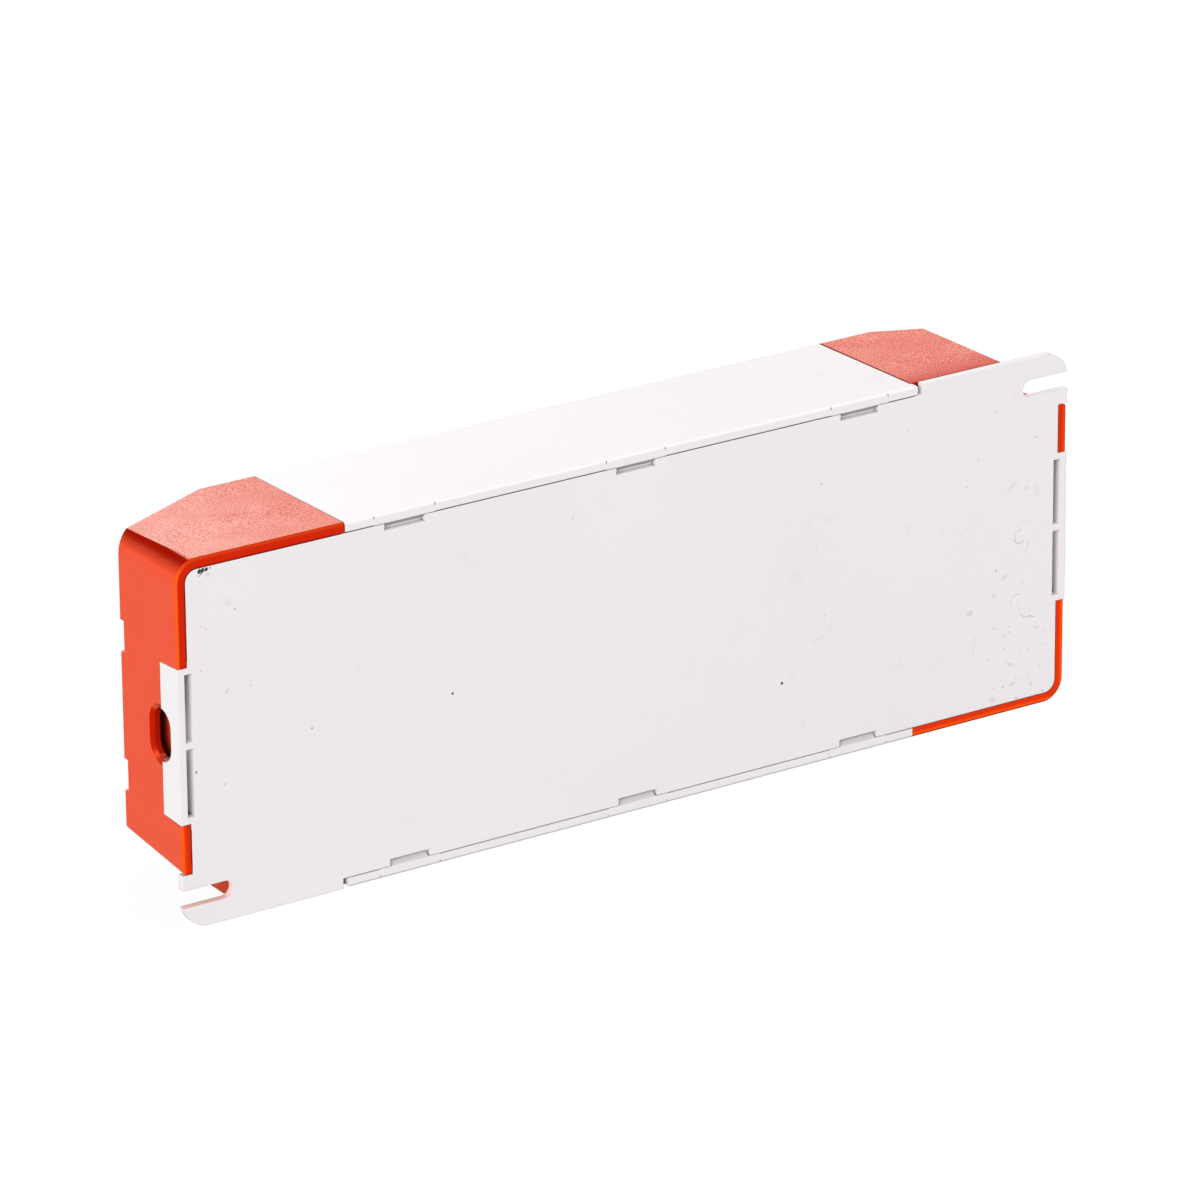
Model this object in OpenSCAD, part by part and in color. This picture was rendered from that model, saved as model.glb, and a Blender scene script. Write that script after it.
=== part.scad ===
// Linear LED driver in a snap-together plastic housing, standing on one long side.
// It is drawn lying on its base, with x along the length, y across the width and z up from
// the mounting face, and stand() then turns it upright.

/* [Housing] */
// Overall length of the driver
body_l = 200; // [190:1:230]
// Overall width between the two long sides
body_w = 72; // [70:1:86]
// Height from the mounting face to the flat roof
body_h = 31.5; // [30:0.5:36]
// Wall thickness of the mouldings
wall_t = 1.9; // [1.6:0.1:2.2]
// Lean of each long side over the full height
side_draft = 0.6; // [0.2:0.1:1]
// Working gap between mouldings that nest
fit_gap = 0.2; // [0.15:0.05:0.3]
// Bevel along the outer lower edge of the rims
rim_bevel = 0.45; // [0.2:0.05:0.7]

/* [End caps] */
// Length of a cap along the mounting face
cap_l = 36; // [35:0.5:38]
// Lean of the seam towards the middle over the full height
seam_lean = 0.1; // [0:0.1:1]
// Open gap of the seam between a cap and the cover
seam_gap = 0.15; // [0.1:0.05:0.5]
// Flat stretch of the cap's roof before it slopes
cap_flat = 11.8; // [10:0.1:13]
// Height of the cap's end wall
end_h = 20; // [19.5:0.5:22]
// Radius of the cap's upright corner
corner_r = 4.5; // [4:0.5:6]
// Lean of the wall over the ear, measured at the end wall's height
flank_lean = 2.4; // [1.5:0.1:3]
// Rounding of the end wall where it stops beside the ear
flank_r = 1.2; // [0.8:0.1:1.5]

/* [Base] */
// Thickness of the mounting plate and its ears
plate_t = 1.6; // [1.5:0.1:2]
// Length of the open corner over an ear
ear_l = 14.7; // [14:0.1:15.5]
// Width of an ear across the driver
ear_w = 10.8; // [10.5:0.1:12]
// Length of the strip that carries an ear beside the plate
ear_strip_l = 34.3; // [33:0.1:34.5]
// Radius of an ear's outer corner
ear_r = 5.3; // [4:0.1:5.5]
// Width of the open screw slot in an ear
slot_w = 3.5; // [3:0.1:4.2]
// Depth of the screw slot from the ear's end
slot_l = 10.6; // [9:0.1:11]
// Distance from the long side to the middle of the screw slot
slot_edge = 6.1; // [5.8:0.1:6.4]
// Width of the end tab at the mounting face
tab_w = 30.5; // [29:0.5:32]
// Height of the end tab
tab_h = 6.2; // [6:0.1:6.8]
// Narrowing of each side of the tab over its height
tab_taper = 0.3; // [0.2:0.1:1.2]
// Thickness of the end tab
tab_t = 1.4; // [1.2:0.1:1.8]
// Thickness of the rib along the slots inside the tab
tab_rib_t = 1.2; // [1:0.1:1.6]
// Length of the pair of slots inside the tab
tab_slots_l = 28; // [26:0.2:29]
// Width of each of those slots
tab_slot_w = 1.6; // [1.2:0.1:1.8]
// Bridge between those slots
tab_slot_bridge = 1.3; // [1:0.1:2]

/* [Cable entry] */
// Width of the round-ended cable entry
entry_w = 10.5; // [9:0.5:12]
// Height of the cable entry
entry_h = 6.8; // [6:0.1:7]
// Shift of a cable entry away from the ear
entry_shift = 0.6; // [0:0.1:1]
// Bevel around the cap's half of the entry
entry_bevel = 0.7; // [0.3:0.1:1]

/* [Snaps] */
// Spacing of the snaps along each long side
snap_pitch = 51; // [48:0.5:52]
// Length of a snap's pocket in the plate's edge
pocket_w = 8.8; // [8:0.1:10]
// Depth of the pocket from the plate's edge
pocket_d = 1.35; // [1.2:0.05:1.5]
// Depth of the pocket from the mounting face
pocket_h = 1.1; // [1:0.05:1.2]
// Length of the cover's barb
barb_w = 8; // [7:0.1:7.9]
// Reach of the barb under the plate's edge
barb_reach = 1; // [0.9:0.05:1.15]
// Half length of the pressed stretch of rim around a barb
tongue_half = 6.6; // [6:0.1:7.5]
// Width of the nick at each end of that stretch
nick_w = 0.2; // [0.15:0.05:0.4]
// Length of the cover's rounded toe beyond the seam, on the side of an ear
toe_l = 0.6; // [0.4:0.1:0.8]

/* [Cap screws] */
// Spacing of a cap's two screws across the width
screw_pitch = 27.4; // [26:0.2:28]
// Shift of that pair of screws away from the ear
screw_shift = 2; // [0:0.1:3]
// Distance of the screws from the end of the driver
screw_inset = 7; // [6.5:0.1:7.5]
// Width of the open recess around a screw head
recess_w = 6.3; // [6.2:0.1:7]
// Depth of the recess below the top of the end wall
recess_drop = 1.2; // [1:0.1:1.5]
// Shank diameter of the screws
shank_d = 2.8; // [2.5:0.1:3]
// Head diameter of the screws
head_d = 5.8; // [5.4:0.1:6.2]

/* [Circuit board] */
// Length of the circuit board
board_l = 160; // [158:1:162]
// Width of the circuit board
board_w = 62; // [60:0.5:62]
// Thickness of the circuit board
board_t = 1.6; // [1:0.1:1.6]
// Height of the board's underside above the mounting face
board_z = 5.5; // [5:0.1:5.6]

/* [Terminals] */
// Spacing of the terminal's poles
pole_pitch = 7.5; // [7.5:0.1:8]
// Poles of the mains terminal
input_poles = 4; // [2:1:4]
// Poles of the lamp terminal
output_poles = 2; // [2:1:4]
// Depth of a terminal along the driver
terminal_d = 13; // [12:0.5:13]
// Height of a terminal above the board
terminal_h = 12.5; // [11:0.5:13]
// Diameter of a terminal's wire hole
wire_hole_d = 3.2; // [2.6:0.1:3.6]

/* [Mains filter] */
// Diameter and height of the round fuse
fuse_size = [8, 8.5]; // [6:0.5:10]
// Diameter and thickness of the surge varistor
varistor_size = [10, 4]; // [3:0.5:12]
// Length, width and height of the mains film capacitor
x_cap_size = [18, 9, 15]; // [8:0.5:20]
// Outer diameter, inner diameter and height of the filter choke's ring core
choke_size = [18, 9, 8]; // [7:0.5:18]
// Thickness of the filter choke's windings
choke_winding_t = 1.4; // [1:0.1:1.6]

/* [Power stage] */
// Length, thickness and height of the bridge rectifier
bridge_size = [15, 3.6, 11]; // [3:0.1:15]
// Diameter and height of the reservoir capacitor
bulk_size = [18, 20]; // [16:0.5:20]
// Width, depth and height of the transformer's core
core_size = [27, 9.5, 18]; // [9:0.5:28]
// Thickness of the core's legs and yokes
core_leg = 4; // [3.5:0.1:4.2]
// Length and height of a heat sink
sink_size = [24, 17]; // [16:0.5:26]
// Number of fins on a heat sink
sink_fins = 6; // [4:1:8]
// Diameter and thickness of the interference capacitor
y_cap_size = [8, 4]; // [3:0.5:9]

/* [Output stage] */
// Diameter and height of the output capacitors
output_cap_size = [10, 18]; // [8:0.5:20]
// Flange diameter and height of the output choke
drum_size = [13, 12]; // [11:0.5:14]

/* [Hidden] */
$fn = 64;
overlap = 0.3;
beyond = 1;
half_l = body_l / 2;
half_w = body_w / 2;
seam_x = half_l - cap_l;
roof_break_x = seam_x + cap_flat;
roof_slope = (body_h - end_h) / (half_l - roof_break_x);
roof_wall = wall_t * sqrt(1 + roof_slope * roof_slope);
field_l = body_l - 2 * (wall_t + fit_gap);
field_w = body_w - 2 * (wall_t + fit_gap);
field_r = corner_r - wall_t - fit_gap;
entry_rise = 0.2;
entry_z = tab_h + entry_rise;
entry_half = (entry_w - entry_h) / 2;
mouth_r = entry_h / 2 + entry_bevel + overlap;
seat_gap = 0.1;
ear_gap = 0.25;

screw_x = half_l - screw_inset;
screw_y = screw_pitch / 2;
recess_z = end_h - recess_drop;
cup_t = 1.5;
cup_floor = 2;
boss_d = 7;
boss_top = 12;
shank_l = 12.5;
head_h = 2.2;
cross_w = 0.8;
cross_l = 3.2;
cross_d = 1.2;
clamp_rib_t = 1.4;
clamp_rib_w = 15;
clamp_rib_inset = [4.8, 8.6];
saddle_inset = 6.7;
saddle_h = 1.4;
tab_rib_h = 1.4;

lip_t = 1.1;
lip_l = 2;
lip_lift = 0.4;
lip_z = plate_t + lip_lift;
lip_root = 4;
bulkhead_t = 1.5;
bulkhead_set = 2;
bulkhead_x = seam_x - seam_lean - bulkhead_set;
nick_h = 0.25;
nick_reach = rim_bevel + 0.3;
toe_r = 0.6;
barb_low = 0.1;
barb_high = 1.02;
barb_tip = 0.9;
pad_t = 0.1;
ledge_h = 1;

post_d = 6;
post_places = [[72, 26], [24, 26], [-24, 26], [-72, 26]];
pin_d = 2.6;
pin_hole_d = 3;
pin_rise = 1.2;
rail_t = 1.2;
rail_h = 3;
rail_from = 7.5;
rail_to = 43.5;

board_top = board_z + board_t;
terminal_x = board_l / 2;
terminal_step = 6;
terminal_screw_d = 4;
terminal_pocket_d = 4.4;
terminal_pocket_h = 6;
terminal_screw_h = 3;
terminal_screw_x = -terminal_x + terminal_d - terminal_pocket_d + overlap;
terminal_screw_z = board_top + terminal_h - terminal_pocket_h;
wire_rise = 4.5;
wire_z = board_top + wire_rise;
wire_mouth_d = wire_hole_d + 2 * beyond;
lead_d = 0.8;
lead_h = 2;
lead_pitch = 5;

leg_half = core_leg;
window_w = core_size[0] / 2 - core_leg - leg_half;
window_h = core_size[2] - 2 * core_leg;
bobbin_t = 0.9;
core_lift = 2.5;
drum_flange_h = 1.6;
drum_hub_d = drum_size[0] / 2;
opto_size = [5, 6.5, 3.4];
chip_size = [5, 4, 1.6];

fuse_at = [-52, -22];
varistor_at = [-52, -6];
x_cap_at = [-48, 14];
choke_at = [-32, -14];
bridge_at = [-17, 22];
bulk_at = [-10, 3];
transistor_at = [-6, -24];
core_at = [17, 2];
y_cap_at = [19, 25];
opto_at = [30, 23];
chip_at = [8, 22];
snubber_at = [10, -19];
rectifier_at = [41, -24];
output_cap_at = [[40, 0], [40, 12]];
drum_at = [52.5, 8];

// Turns the lying driver onto its long side, with the mounting face towards -y.
module stand() {
    translate([0, -body_h / 2, half_w])
        rotate([-90, 0, 0])
            children();
}

// Repeats what is drawn for the -x end at the +x end, half a turn round.
module at_both_ends() {
    for (turn = [0, 180])
        rotate(turn)
            children();
}

// Extrudes a (y, z) outline from x0 to x1.
module along_x(x0, x1) {
    translate([x0, 0, 0])
        rotate([90, 0, 90])
            linear_extrude(x1 - x0)
                children();
}

// Extrudes an (x, z) outline evenly to both sides of the middle.
module along_y(w) {
    rotate([90, 0, 0])
        linear_extrude(w, center = true)
            children();
}

module rounded_rect(l, w, r) {
    square([l - 2 * r, w], center = true);
    square([l, w - 2 * r], center = true);
    for (sx = [-1, 1], sy = [-1, 1])
        translate([sx * (l / 2 - r), sy * (w / 2 - r)])
            circle(r);
}

module round_ended(l, w) {
    square([l - w, w], center = true);
    for (s = [-1, 1])
        translate([s * (l - w) / 2, 0])
            circle(w / 2);
}

// Cross section of the housing with leaning sides, as points in (y, z).
function side_y(z, inset) = half_w - inset - side_draft * z / body_h;
function section(inset, low) = [
    [-side_y(low, inset), low],
    [side_y(low, inset), low],
    [side_y(body_h - inset, inset), body_h - inset],
    [-side_y(body_h - inset, inset), body_h - inset]
];

// Outline of the mounting plate with its two ears and the roots of its tabs.
module plate_outline(grow, strip_l) {
    rounded_rect(field_l + 2 * grow, field_w + 2 * grow, field_r + grow);
    at_both_ends() {
        intersection() {
            rounded_rect(body_l + 2 * grow, body_w + 2 * grow, ear_r + grow);
            translate([-half_l - beyond, field_w / 2 - beyond])
                square([strip_l + beyond, ear_w]);
        }
        intersection() {
            rounded_rect(body_l + 2 * grow, body_w + 2 * grow, ear_r + grow);
            translate([-half_l - beyond, half_w - ear_w - grow])
                square([ear_l, ear_w + 2 * beyond]);
        }
        translate([-half_l - grow, -tab_w / 2 - grow])
            square([ear_l, tab_w + 2 * grow]);
    }
}

// Upright face of the end tab in (y, z), or of its cut-out in the cap.
module tab_face(grow) {
    polygon([
        [-tab_w / 2 - grow, 0],
        [tab_w / 2 + grow, 0],
        [tab_w / 2 - tab_taper + grow, tab_h + grow],
        [-tab_w / 2 + tab_taper - grow, tab_h + grow]
    ]);
}

module entry_face() {
    translate([-entry_shift, entry_z])
        round_ended(entry_w, entry_h);
}

module at_screws() {
    for (s = [-1, 1])
        translate([-screw_x, s * screw_y - screw_shift, 0])
            children();
}

module base_tray() {
    color("white")
        stand()
            difference() {
                union() {
                    linear_extrude(plate_t)
                        plate_outline(0, ear_strip_l);
                    at_both_ends()
                        base_end();
                    board_supports();
                    side_rails();
                }
                at_both_ends()
                    base_end_cuts();
                snap_pockets();
            }
}

// Tab, screw bosses, slot rib and cable saddle at one end of the base.
module base_end() {
    along_x(-half_l, -half_l + tab_t)
        tab_face(0);
    translate([-half_l + tab_t + tab_slot_w, -tab_slots_l / 2, plate_t - overlap])
        cube([tab_rib_t, tab_slots_l, tab_rib_h + overlap]);
    at_screws()
        translate([0, 0, plate_t - overlap])
            cylinder(d = boss_d, h = boss_top - plate_t + overlap);
    translate([-half_l + saddle_inset - clamp_rib_t / 2, -clamp_rib_w / 2, plate_t - overlap])
        cube([clamp_rib_t, clamp_rib_w, saddle_h + overlap]);
}

module base_end_cuts() {
    along_x(-half_l - beyond, -half_l + tab_t + beyond)
        entry_face();
    at_screws()
        translate([0, 0, plate_t])
            cylinder(d = shank_d + seat_gap, h = boss_top);
    for (s = [-1, 1])
        translate([-half_l + tab_t, s * (tab_slots_l + tab_slot_bridge) / 4, plate_t / 2])
            translate([tab_slot_w / 2, 0, 0])
                cube([tab_slot_w, (tab_slots_l - tab_slot_bridge) / 2, 2 * plate_t], center = true);
    translate([-half_l, half_w - slot_edge, -beyond])
        linear_extrude(plate_t + 2 * beyond) {
            translate([-beyond, -slot_w / 2])
                square([slot_l - slot_w / 2 + beyond, slot_w]);
            translate([slot_l - slot_w / 2, 0])
                circle(d = slot_w);
        }
}

// Posts under the board, with pins that pass through it.
module board_supports() {
    for (place = post_places, s = [-1, 1])
        translate([place[0], s * place[1], plate_t - overlap]) {
            cylinder(d = post_d, h = board_z - plate_t + overlap);
            cylinder(d = pin_d, h = board_top + pin_rise - plate_t + overlap);
        }
}

// Rails that keep the cover's long walls upright, and ledges over the snap pockets.
module side_rails() {
    for (sx = [-1, 1], sy = [-1, 1])
        translate([sx * (rail_from + rail_to) / 2, sy * (field_w / 2 - rail_t), plate_t + rail_h / 2])
            cube([rail_to - rail_from, rail_t, rail_h + overlap], center = true);
    for (i = [-1, 0, 1], s = [-1, 1])
        translate([i * snap_pitch, s * (field_w / 2 - pocket_d - overlap), plate_t + ledge_h / 2])
            cube([pocket_w + 2 * beyond, 2 * pocket_d, ledge_h + overlap], center = true);
}

module snap_pockets() {
    middle_y = (field_w - pocket_d + beyond) / 2;
    for (i = [-1, 0, 1], s = [-1, 1])
        translate([i * snap_pitch, s * middle_y, (pocket_h - beyond) / 2])
            cube([pocket_w, pocket_d + beyond, pocket_h + beyond], center = true);
}

module top_cover() {
    cover_side = [
        [-seam_x + seam_gap, 0],
        [seam_x - seam_gap, 0],
        [seam_x - seam_lean - seam_gap, body_h],
        [-seam_x + seam_lean + seam_gap, body_h]
    ];
    color("white")
        stand()
            difference() {
                union() {
                    difference() {
                        intersection() {
                            union() {
                                along_y(body_w)
                                    polygon(cover_side);
                                at_both_ends()
                                    cover_toe();
                            }
                            along_x(-half_l, half_l)
                                polygon(section(0, 0));
                        }
                        along_x(-half_l, half_l)
                            polygon(section(wall_t, -beyond));
                    }
                    at_both_ends()
                        cover_end();
                    snap_barbs();
                }
                for (s = [-1, 1])
                    long_rim_bevel(s, -half_l, half_l);
                snap_nicks();
            }
}

// Lip that slides under the cap, and the wall that closes the electronics off.
module cover_end() {
    along_x(-seam_x - lip_l, -bulkhead_x + lip_root)
        difference() {
            polygon(section(wall_t + fit_gap / 2, lip_z));
            polygon(section(wall_t + fit_gap / 2 + lip_t, lip_z - beyond));
        }
    along_x(-bulkhead_x, -bulkhead_x + lip_root)
        difference() {
            polygon(section(wall_t - overlap, lip_z));
            polygon(section(wall_t + lip_t, lip_z - beyond));
        }
    along_x(-bulkhead_x, -bulkhead_x + bulkhead_t)
        polygon(section(wall_t - overlap, board_top + fit_gap));
}

// Rounded end of the cover's rim, under the cap's edge on the side of the ear.
module cover_toe() {
    toe_x = -seam_x - toe_l;
    toe_y = side_y(0, wall_t);
    linear_extrude(plate_t) {
        translate([toe_x + toe_r, toe_y])
            square([toe_l - toe_r + seam_gap + beyond, half_w - toe_y]);
        translate([toe_x, toe_y + toe_r])
            square([toe_r, half_w - toe_y - 2 * toe_r]);
        for (y = [toe_y + toe_r, half_w - toe_r])
            translate([toe_x + toe_r, y])
                circle(toe_r);
    }
}

module snap_barbs() {
    for (i = [-1, 0, 1], s = [0, 1])
        mirror([0, s, 0]) {
            inner_y = side_y(0, wall_t);
            along_x(i * snap_pitch - barb_w / 2, i * snap_pitch + barb_w / 2)
                polygon([
                    [inner_y + overlap, barb_low],
                    [inner_y + overlap, barb_high],
                    [inner_y - barb_reach, barb_high],
                    [inner_y - barb_reach, barb_tip],
                    [inner_y, barb_low]
                ]);
            along_x(i * snap_pitch - tongue_half, i * snap_pitch + tongue_half)
                translate([inner_y - pad_t, 0])
                    square([pad_t + overlap, plate_t]);
        }
}

module snap_nicks() {
    for (i = [-1, 0, 1], side = [-1, 1], s = [-1, 1])
        translate([i * snap_pitch + side * tongue_half, s * half_w, 0])
            cube([nick_w, 2 * nick_reach, 2 * nick_h], center = true);
}

// Cuts the bevel along a long rim, on side s.
module long_rim_bevel(s, x0, x1) {
    along_x(x0, x1)
        polygon([
            [s * (half_w + beyond), rim_bevel + beyond],
            [s * (half_w + beyond), -beyond],
            [s * (half_w - rim_bevel - beyond), -beyond]
        ]);
}

module input_cap() {
    color("orangered")
        stand()
            cap();
}

module output_cap() {
    color("orangered")
        stand()
            rotate(180)
                cap();
}

// One cap, drawn at the -x end.
module cap() {
    difference() {
        union() {
            difference() {
                cap_form(0);
                cap_form(wall_t);
            }
            intersection() {
                cap_form(wall_t / 2);
                union() {
                    cap_screw_cups();
                    cap_clamp_ribs();
                }
            }
        }
        linear_extrude(plate_t + ear_gap)
            plate_outline(fit_gap / 2, cap_l + beyond);
        along_x(-half_l - beyond, -half_l + wall_t + beyond) {
            translate([0, -seat_gap])
                tab_face(seat_gap);
            entry_face();
        }
        entry_flare();
        cap_screw_recesses();
        flank_rounding();
        long_rim_bevel(-1, -half_l + corner_r, -seam_x + beyond);
        end_rim_bevel();
    }
}

// Outer form of the cap, or its hollow when inset by the wall.
module cap_form(inset) {
    low = inset > 0 ? -beyond : 0;
    open_x = -seam_x + seam_lean + (inset > 0 ? beyond : 0);
    seam_low_x = inset > 0 ? open_x : -seam_x;
    end_x = -half_l + inset;
    roof_z = body_h - inset;
    slope_drop = inset * roof_wall / wall_t;
    break_x = -roof_break_x + (slope_drop - inset) / roof_slope;
    end_top = end_h + inset * roof_slope - slope_drop;
    difference() {
        intersection() {
            along_y(body_w)
                polygon([
                    [end_x, low],
                    [seam_low_x, low],
                    [open_x, roof_z],
                    [break_x, roof_z],
                    [end_x, end_top]
                ]);
            along_x(-half_l - beyond, -seam_x + lip_root)
                polygon(section(inset, low));
            translate([-half_l + inset + cap_l, 0, low])
                linear_extrude(body_h - low)
                    rounded_rect(2 * cap_l, body_w - 2 * inset, corner_r - inset);
        }
        ear_corner(inset);
    }
}

// The open corner over the ear, with a leaning flank.
function flank_y(z, inset) = half_w - ear_w - inset - flank_lean * z / end_h;
module ear_corner(inset) {
    top_z = body_h + beyond;
    along_x(-half_l - beyond, -half_l + ear_l + inset)
        polygon([
            [flank_y(-2 * beyond, inset), -2 * beyond],
            [body_w, -2 * beyond],
            [body_w, top_z],
            [flank_y(top_z, inset), top_z]
        ]);
}

module flank_rounding() {
    translate([-half_l, half_w - ear_w, 0])
        rotate([atan(flank_lean / end_h), 0, 0])
            translate([0, 0, -2 * beyond])
                linear_extrude(body_h)
                    difference() {
                        translate([-beyond, -flank_r])
                            square(flank_r + beyond);
                        translate([flank_r, -flank_r])
                            circle(flank_r);
                    }
}

// Cups that carry the screw heads, each with a tube down to the base's boss.
module cap_screw_cups() {
    at_screws() {
        translate([0, 0, recess_z - cup_floor])
            linear_extrude(body_h)
                recess_outline(recess_w + 2 * cup_t);
        translate([0, 0, boss_top + seat_gap])
            cylinder(d = boss_d, h = recess_z - boss_top - cup_floor / 2);
    }
}

module recess_outline(w) {
    circle(d = w);
    translate([-screw_inset - beyond, -w / 2])
        square([screw_inset + beyond, w]);
}

module cap_screw_recesses() {
    at_screws() {
        translate([0, 0, recess_z])
            linear_extrude(body_h)
                recess_outline(recess_w);
        cylinder(d = shank_d + 2 * fit_gap, h = body_h);
    }
}

// Ribs that press the cable's sheath down onto the base's saddle.
module cap_clamp_ribs() {
    for (inset = clamp_rib_inset)
        translate([-half_l + inset - clamp_rib_t / 2, -clamp_rib_w / 2, entry_z + entry_h / 2 + fit_gap])
            cube([clamp_rib_t, clamp_rib_w, body_h]);
}

// Bevelled mouth of the cable entry.
module entry_flare() {
    for (s = [-1, 1])
        translate([-half_l, s * entry_half - entry_shift, entry_z])
            rotate([0, 90, 0])
                translate([0, 0, -overlap])
                    cylinder(h = entry_bevel + overlap, r1 = mouth_r, r2 = entry_h / 2);
    translate([-half_l, -entry_shift, entry_z])
        along_y(2 * entry_half)
            polygon([
                [-overlap, mouth_r],
                [-overlap, -mouth_r],
                [entry_bevel, -entry_h / 2],
                [entry_bevel, entry_h / 2]
            ]);
}

// Bevel along the end wall's lower edge and round the cap's full corner.
module end_rim_bevel() {
    translate([0, (corner_r - ear_w) / 2, 0])
        along_y(body_w - corner_r - ear_w)
            polygon([
                [-half_l - beyond, rim_bevel + beyond],
                [-half_l - beyond, -beyond],
                [-half_l + rim_bevel + beyond, -beyond]
            ]);
    translate([-half_l + corner_r, -half_w + corner_r, 0])
        rotate(180)
            rotate_extrude(angle = 90)
                polygon([
                    [corner_r + beyond, rim_bevel + beyond],
                    [corner_r - rim_bevel - beyond, -beyond],
                    [corner_r + beyond, -beyond]
                ]);
}

module cap_screws() {
    color("silver")
        stand()
            at_both_ends()
                at_screws()
                    translate([0, 0, recess_z])
                        difference() {
                            union() {
                                cylinder(d = head_d, h = head_h);
                                translate([0, 0, -shank_l])
                                    cylinder(d = shank_d, h = shank_l + overlap);
                            }
                            translate([0, 0, head_h])
                                for (turn = [0, 90])
                                    rotate(turn)
                                        cube([cross_l, cross_w, 2 * cross_d], center = true);
                        }
}

module circuit_board() {
    color("darkgreen")
        stand()
            translate([0, 0, board_z])
                difference() {
                    linear_extrude(board_t)
                        square([board_l, board_w], center = true);
                    for (place = post_places, s = [-1, 1])
                        translate([place[0], s * place[1], -beyond])
                            cylinder(d = pin_hole_d, h = board_t + 2 * beyond);
                }
}

// Screw terminal block at the -x end, with its wire holes facing outwards.
module terminal_block(poles) {
    step_z = board_top + terminal_h - terminal_step / 2;
    difference() {
        along_y(poles * pole_pitch)
            polygon([
                [-terminal_x, board_top],
                [-terminal_x + terminal_d, board_top],
                [-terminal_x + terminal_d, board_top + terminal_h],
                [-terminal_x + terminal_step, board_top + terminal_h],
                [-terminal_x, step_z]
            ]);
        at_poles(poles) {
            translate([-terminal_x - beyond, 0, wire_z])
                rotate([0, 90, 0])
                    cylinder(d = wire_hole_d, h = terminal_d / 2 + beyond);
            translate([-terminal_x - overlap, 0, wire_z])
                rotate([0, 90, 0])
                    cylinder(d1 = wire_mouth_d, d2 = wire_hole_d - overlap, h = beyond + overlap);
            terminal_pocket();
        }
    }
}

module at_poles(poles) {
    for (i = [0 : poles - 1])
        translate([0, (i - (poles - 1) / 2) * pole_pitch, 0])
            children();
}

module terminal_pocket() {
    translate([terminal_screw_x, 0, terminal_screw_z])
        cylinder(d = terminal_pocket_d, h = terminal_pocket_h + beyond);
}

module input_terminal() {
    color("gainsboro")
        stand()
            terminal_block(input_poles);
}

module output_terminal() {
    color("gainsboro")
        stand()
            rotate(180)
                terminal_block(output_poles);
}

module terminal_screws() {
    color("silver")
        stand() {
            at_poles(input_poles)
                terminal_screw();
            rotate(180)
                at_poles(output_poles)
                    terminal_screw();
        }
}

module terminal_screw() {
    translate([terminal_screw_x, 0, terminal_screw_z])
        difference() {
            cylinder(d = terminal_screw_d, h = terminal_screw_h);
            translate([0, 0, terminal_screw_h])
                cube([terminal_screw_d + beyond, cross_w, cross_d], center = true);
        }
}

// Places a piece on the board's upper face.
module on_board(at) {
    stand()
        translate([at[0], at[1], board_top])
            children();
}

module leads(pitch, rows, h) {
    for (i = [0 : rows - 1])
        translate([(i - (rows - 1) / 2) * pitch, 0, 0])
            cylinder(d = lead_d, h = h);
}

// Coated disc on two leads, with its flat sides along the board.
module disc_part(d, t) {
    translate([0, 0, lead_h + d / 2])
        rotate([90, 0, 0])
            cylinder(d = d, h = t, center = true);
    leads(lead_pitch, 2, lead_h + d / 2);
}

module fuse() {
    color("black")
        on_board(fuse_at) {
            cylinder(d = fuse_size[0], h = fuse_size[1]);
            cylinder(d = fuse_size[0] + beyond, h = beyond);
        }
}

module varistor() {
    color("royalblue")
        on_board(varistor_at)
            disc_part(varistor_size[0], varistor_size[1]);
}

module x_capacitor() {
    color("gold")
        on_board(x_cap_at)
            linear_extrude(x_cap_size[2])
                rounded_rect(x_cap_size[0], x_cap_size[1], beyond);
}

// Section of the ring core, or of the wire around it, in (radius, height).
module ring_section(grow) {
    r0 = choke_size[1] / 2;
    r1 = choke_size[0] / 2;
    translate([r0 - grow, choke_winding_t - grow])
        square([r1 - r0 + 2 * grow, choke_size[2] + 2 * grow]);
}

module choke_core() {
    color("darkslategray")
        on_board(choke_at)
            rotate_extrude()
                ring_section(0);
}

module choke_windings() {
    winding_angle = 130;
    color("peru")
        on_board(choke_at)
            for (turn = [0, 180])
                rotate(turn - winding_angle / 2)
                    rotate_extrude(angle = winding_angle)
                        difference() {
                            ring_section(choke_winding_t);
                            ring_section(0);
                        }
}

module bridge_rectifier() {
    notch = 3;
    color("black")
        on_board(bridge_at) {
            translate([0, 0, lead_h])
                along_y(bridge_size[1])
                    polygon([
                        [-bridge_size[0] / 2, 0],
                        [bridge_size[0] / 2, 0],
                        [bridge_size[0] / 2, bridge_size[2] - notch],
                        [bridge_size[0] / 2 - notch, bridge_size[2]],
                        [-bridge_size[0] / 2, bridge_size[2]]
                    ]);
            leads(bridge_size[0] / 4, 4, lead_h + overlap);
        }
}

// Electrolytic can with the rolled groove near its foot.
module can_part(d, h) {
    groove_r = 0.6;
    groove_z = 2.2;
    difference() {
        cylinder(d = d, h = h);
        translate([0, 0, groove_z])
            rotate_extrude()
                translate([d / 2, 0])
                    circle(groove_r);
        translate([0, 0, h])
            for (turn = [0, 90])
                rotate(turn)
                    cube([d / 2, lead_d / 2, lead_d / 2], center = true);
    }
}

module bulk_capacitor() {
    color("midnightblue")
        on_board(bulk_at)
            can_part(bulk_size[0], bulk_size[1]);
}

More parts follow.
